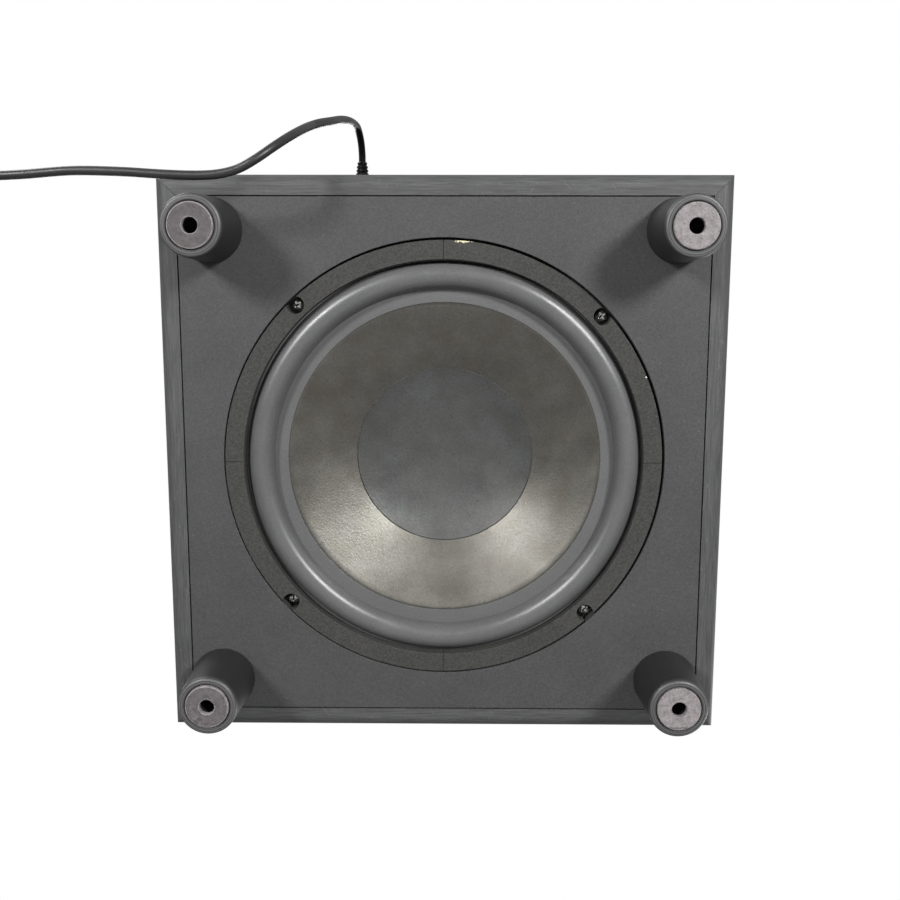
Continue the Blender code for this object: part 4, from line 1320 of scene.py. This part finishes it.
ridges = bars_round([rear(FUSE_PLACE, 6.1)], black, FUSE_RIDGES, 0.0064, (0.0010, 0.0008, 0.0038))
settled("fuse_cap_ridges", edged(ridges, 0.2), black, "cabinet", PLASTIC)

# ---------------------------------------------------------------- line sockets
# A pair of line-level sockets in one moulded block: nickel barrels, with a red and a white insulator.

# Side: its x, and the two tones of its insulator
SOCKETS = {
    "left": (9.5, (0.55, 0.54, 0.50), (0.72, 0.70, 0.66)),
    "right": (-9.5, (0.42, 0.02, 0.02), (0.60, 0.04, 0.03)),
}
SOCKET_HEIGHT = 135.0
BARREL = [(3.0, 5.9), (4.9, 5.9), (4.9, 6.7), (4.2, 7.0), (4.2, 12.4), (3.9, 12.7), (3.4, 12.7), (3.1, 12.4)]
INSULATOR = [(1.7, 5.9), (3.0, 5.9), (3.0, 11.8), (2.7, 12.0), (1.9, 12.0), (1.7, 11.8)]


def nickel():
    tones = (0.55, 0.52, 0.46), (0.74, 0.71, 0.64)
    return finish_of("nickel_plate", *tones, 0.22, 0.0008, 0.00001, patch=0.006, metallic=1.0)


nickel_plate = nickel()
closed("line_socket_block", softened("line_jacks", 0.5), black, "cabinet", PLASTIC, "line_jacks")
for side, (offset, dark, light) in SOCKETS.items():
    spot = (offset, SOCKET_HEIGHT)
    barrel = turned_rear(BARREL, spot)
    closed(f"line_barrel_{side}", barrel, nickel_plate, "cabinet", "nickel", f"line_jack_{side}")
    insulator = finish_of(f"insulator_{side}", dark, light, 0.35, 0.001, 0.00001, patch=0.003)
    closed(f"line_insulator_{side}", turned_rear(INSULATOR, spot), insulator, "cabinet", PLASTIC)

# ---------------------------------------------------------------- inside the cabinet
# The amplifier board, its capacitor and ring transformer hang behind the plate. A two-core lead drops to
# the driver, and a pad of polyester wadding lines the top.

PAD_LOW = (-140.0, -154.5, 369.0)
PAD_HIGH = (140.0, 90.5, 393.4)
PAD_COLUMNS = 44
PAD_ROWS = 38
PAD_LUMP = 0.12


def laminate():
    grain = (0.003, 0.0006, 0.003)
    tones = (0.010, 0.075, 0.025), (0.018, 0.13, 0.045)
    return finish_of("board_laminate", *tones, 0.35, grain, 0.00003, patch=0.01)


def sleeve():
    return finish_of("capacitor_sleeve", (0.012, 0.012, 0.016), (0.024, 0.024, 0.032), 0.3, 0.003, 0.00002)


def wadding():
    """Loose white polyester fibre."""
    grain = (0.004, 0.0006, 0.0006)
    tones = (0.60, 0.60, 0.57), (0.82, 0.82, 0.80)
    finish = finish_of("wadding_fibre", *tones, 0.95, grain, 0.0006, patch=0.02)
    shader_of(finish)[1].inputs["Sheen Weight"].default_value = 0.3
    return finish


def wadding_pad():
    """A pad that thins towards its edges, its faces lumpy where the fibres bunch."""
    middle = [(a + b) / 2 for a, b in zip(PAD_LOW, PAD_HIGH)]
    half = [(b - a) / 2 for a, b in zip(PAD_LOW, PAD_HIGH)]
    shape = bmesh.new()
    for side in (-1.0, 1.0):
        grid = {}
        for column in range(PAD_COLUMNS + 1):
            for row in range(PAD_ROWS + 1):
                u, v = 2.0 * column / PAD_COLUMNS - 1.0, 2.0 * row / PAD_ROWS - 1.0
                full = max(0.0, (1.0 - abs(u) ** 8) * (1.0 - abs(v) ** 8)) ** 0.5
                lump = PAD_LUMP * noise.noise(Vector((4.0 * u, 4.0 * v, side)))
                level = side * full * min(1.0, 0.86 + lump)
                shares = zip(middle, half, (u, v, level))
                grid[column, row] = shape.verts.new([mid + reach * share for mid, reach, share in shares])
        for column in range(PAD_COLUMNS):
            for row in range(PAD_ROWS):
                corners = (column, row), (column + 1, row), (column + 1, row + 1), (column, row + 1)
                shape.faces.new([grid[corner] for corner in corners])
    bmesh.ops.remove_doubles(shape, verts=shape.verts, dist=0.01)
    return shape


dress("circuit_board", laminate())
dress("capacitor", sleeve())
dress("transformer", copper)
pad = closed("wadding_pad", wadding_pad(), wadding(), "cabinet", "wadding", "acoustic_wadding", sharp=80.0)

# ---------------------------------------------------------------- mains lead
# Round black rubber-sheathed lead, 1.8 m long. It hangs from the strain relief to the floor, and the rest
# is wound in two flat layers beside the cabinet, held by a strap.

LEAD_RADIUS = 2.5
LEAD_ROUTE = (
    (62.0, 182.3, 216.0),
    (62.0, 187.6, 215.6),
    (62.3, 194.6, 212.8),
    (62.9, 200.2, 207.6),
    (63.6, 203.8, 199.8),
    (64.4, 204.6, 188.0),
    (65.8, 203.0, 163.0),
    (68.0, 199.0, 133.0),
    (70.8, 193.4, 103.0),
    (74.0, 187.4, 72.0),
    (77.8, 180.8, 45.0),
    (83.0, 173.2, 22.5),
    (90.0, 165.6, 8.6),
    (98.4, 158.8, 3.0),
    (108.0, 153.6, 2.5),
    (119.0, 150.9, 2.5),
    (132.0, 150.3, 2.5),
    (149.0, 150.9, 2.5),
    (171.0, 152.2, 2.5),
    (196.0, 152.6, 2.5),
    (222.0, 150.7, 2.5),
    (245.0, 149.8, 2.5),
    (265.5, 149.8, 2.5),
)
COIL_CENTRE = (286.0, 112.6)
COIL_TURN_RADIUS = 37.2
COIL_PITCH = 5.05
COIL_POINTS = 18
COIL_TURNS = 7.25
LAYER_TURNS = 4
RELIEF_PLACE = (62.0, 170.0)
RELIEF_GROOVES = 7
SPEAKER_LEAD_RADIUS = 1.8
SPEAKER_LEAD = (
    (-20.0, 131.4, 146.0),
    (-19.8, 122.0, 145.0),
    (-13.0, 96.0, 130.0),
    (-2.0, 66.5, 117.0),
    (0.0, 57.3, 116.0),
)
PLUG_Y = 90.5
PLUG_GROOVES = 6
# Distance from the lead's end, half width, half height and squareness of the plug's body
PLUG_OUTLINE = (
    (17.0, 6.4, 6.2, 2.1),
    (18.5, 8.6, 6.8, 2.5),
    (20.5, 10.6, 7.15, 3.2),
    (23.0, 11.4, 7.25, 4.0),
    (26.0, 11.3, 7.2, 4.4),
    (30.0, 10.7, 7.0, 4.6),
    (34.0, 10.7, 7.0, 4.6),
    (37.5, 11.4, 7.2, 4.6),
    (41.0, 11.5, 7.25, 4.6),
    (41.7, 11.3, 7.1, 4.6),
    (42.0, 10.9, 6.7, 4.6),
)
BLADE_X = 6.35


def eased(place, start, end):
    share = min(1.0, max(0.0, (place - start) / (end - start)))
    return share * share * (3.0 - 2.0 * share)


def coil_point(turns):
    """A point on the winding after that many turns: four rings inwards on the floor, then back out on top."""
    inward = sum(eased(turns, ring - 0.28, ring) for ring in range(1, LAYER_TURNS))
    outward = sum(eased(turns, LAYER_TURNS + ring + 0.34, LAYER_TURNS + ring + 0.61) for ring in range(3))
    radius = COIL_TURN_RADIUS - COIL_PITCH * (inward - outward)
    angle = math.radians(90.0 - 360.0 * turns)
    height = LEAD_RADIUS + COIL_PITCH * eased(turns, LAYER_TURNS - 0.39, LAYER_TURNS - 0.19)
    x, y = COIL_CENTRE
    return (x + radius * math.cos(angle), y + radius * math.sin(angle), height)


def lead_points():
    """The lead's route: down the back, along the floor, round the winding and into the plug."""
    steps = round(COIL_TURNS * COIL_POINTS)
    winding = [coil_point(COIL_TURNS * step / steps) for step in range(steps + 1)]
    x, y, z = winding[-1]
    tail = [(x, (y + PLUG_Y) / 2, z), (x, PLUG_Y - 1.0, z)]
    return [Vector(point) for point in (*LEAD_ROUTE, *winding, *tail)]


def cord_curve(name, points, radius, finish):
    """A round cord on one open Bezier spline, whose handles make it run smoothly through the points."""
    curve = bpy.data.curves.new(name, "CURVE")
    curve.dimensions = "3D"
    curve.resolution_u = 5
    curve.bevel_depth = radius * MM
    curve.bevel_resolution = 5
    curve.use_fill_caps = True
    spline = curve.splines.new("BEZIER")
    spline.bezier_points.add(len(points) - 1)
    ends = [2 * points[0] - points[1], *points, 2 * points[-1] - points[-2]]
    for index, knot in enumerate(spline.bezier_points):
        before, here, after = ends[index : index + 3]
        reach = (after - before) / 6
        knot.handle_left_type = knot.handle_right_type = "FREE"
        knot.co = here * MM
        knot.handle_left = (here - reach) * MM
        knot.handle_right = (here + reach) * MM
    curve.materials.append(finish)
    return placed(name, curve)


def lead_rubber():
    """Black cable rubber with a dull polish."""
    return finish_of(
        "lead_rubber", (0.013, 0.013, 0.013), (0.026, 0.026, 0.026), 0.42, 0.0012, 0.00003, patch=0.02
    )


def relief_section():
    """The strain relief's section by rear depth: a flange, then a taper cut by grooves so that it bends."""
    section = [(0.0, -4.0), (5.2, -4.0), (5.2, 3.8), (7.2, 3.8), (7.5, 4.1), (7.5, 5.6), (7.1, 6.0)]
    section.append((5.9, 6.2))
    for ring in range(RELIEF_GROOVES):
        start = 7.0 + 2.5 * ring
        radius = 5.75 - 2.15 * (start - 6.6) / 19.4
        for reach, along in ((0.0, 0.0), (-0.1, 1.2), (-0.8, 1.4), (-0.85, 2.2)):
            section.append((radius + reach, start + along))
    return [*section, (3.5, 24.8), (3.5, 25.6), (3.2, 26.0), (0.0, 26.0)]


def oval(half_width, half_height, y, power=2.0, points=64):
    """A loop round the plug: a circle at power 2, and nearer a rectangle the higher it is."""
    loop = []
    for step in range(points):
        angle = 2.0 * math.pi * step / points
        x, z = math.cos(angle), math.sin(angle)
        x = math.copysign(abs(x) ** (2.0 / power), x) * half_width
        z = math.copysign(abs(z) ** (2.0 / power), z) * half_height
        loop.append((x, y, z))
    return loop


def plug_body():
    """The moulded plug: a grooved tail that swells into a waisted body."""
    loops = [[(0.0, 0.0, 0.0)], oval(2.9, 2.9, 0.0), oval(3.5, 3.5, -0.5)]
    for ring in range(PLUG_GROOVES):
        start = 1.0 + 2.6 * ring
        radius = 3.7 + 0.42 * ring
        for reach, along in ((0.0, 0.0), (0.1, 1.4), (-0.7, 1.6), (-0.65, 2.3)):
            loops.append(oval(radius + reach, radius + reach, -start - along))
    loops += [oval(width, height, -along, power) for along, width, height, power in PLUG_OUTLINE]
    return hooped([*loops, [(0.0, -PLUG_OUTLINE[-1][0], 0.0)]])


def plug_blade(x):
    blade = block((x - 0.75, -59.0, -3.2), (x + 0.75, -40.0, 3.2))
    hole = turned([(0.0, -4.0), (1.6, -4.0), (1.6, 4.0), (0.0, 4.0)], 24)
    return rounded(carved(blade, moved(moved(hole, turn=90.0, axis="Y"), (x, -54.5, 0.0))), 0.3)


def tie_nylon():
    tones = (0.016, 0.016, 0.016), (0.03, 0.03, 0.03)
    return finish_of("tie_nylon", *tones, 0.5, 0.0007, 0.0001, patch=0.01)


sheath = lead_rubber()
points = lead_points()
plug_place = (points[-1].x, PLUG_Y, points[-1].z)
plug_shape = moved(plug_body(), plug_place)
blade_shape = moved(together([plug_blade(-BLADE_X), plug_blade(BLADE_X)]), plug_place)
relief_shape = turned_rear(relief_section(), RELIEF_PLACE)
relief = closed("strain_relief_boot", relief_shape, sheath, "cabinet", "cord_rubber", "strain_relief")
plug = closed("plug_body", plug_shape, sheath, "cabinet", "cord_rubber", "power_plug")
blades = closed("plug_blades", blade_shape, nickel_plate, "cabinet", "nickel", "power_plug")
tie = closed("lead_tie", softened("cord_tie", 0.25), tie_nylon(), "cabinet", "tie_plastic", "cord_tie")
lead = cord_curve("mains_lead", points, LEAD_RADIUS, sheath)
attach(lead, "cabinet")
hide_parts("power_cord", "cord_coil")

speaker_points = [Vector(point) for point in SPEAKER_LEAD]
speaker_lead = cord_curve("speaker_wire", speaker_points, SPEAKER_LEAD_RADIUS, sheath)
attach(speaker_lead, "cabinet")
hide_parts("speaker_lead")

# ---------------------------------------------------------------- close
# Works out the box of the finished object, in metres.

low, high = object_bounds()
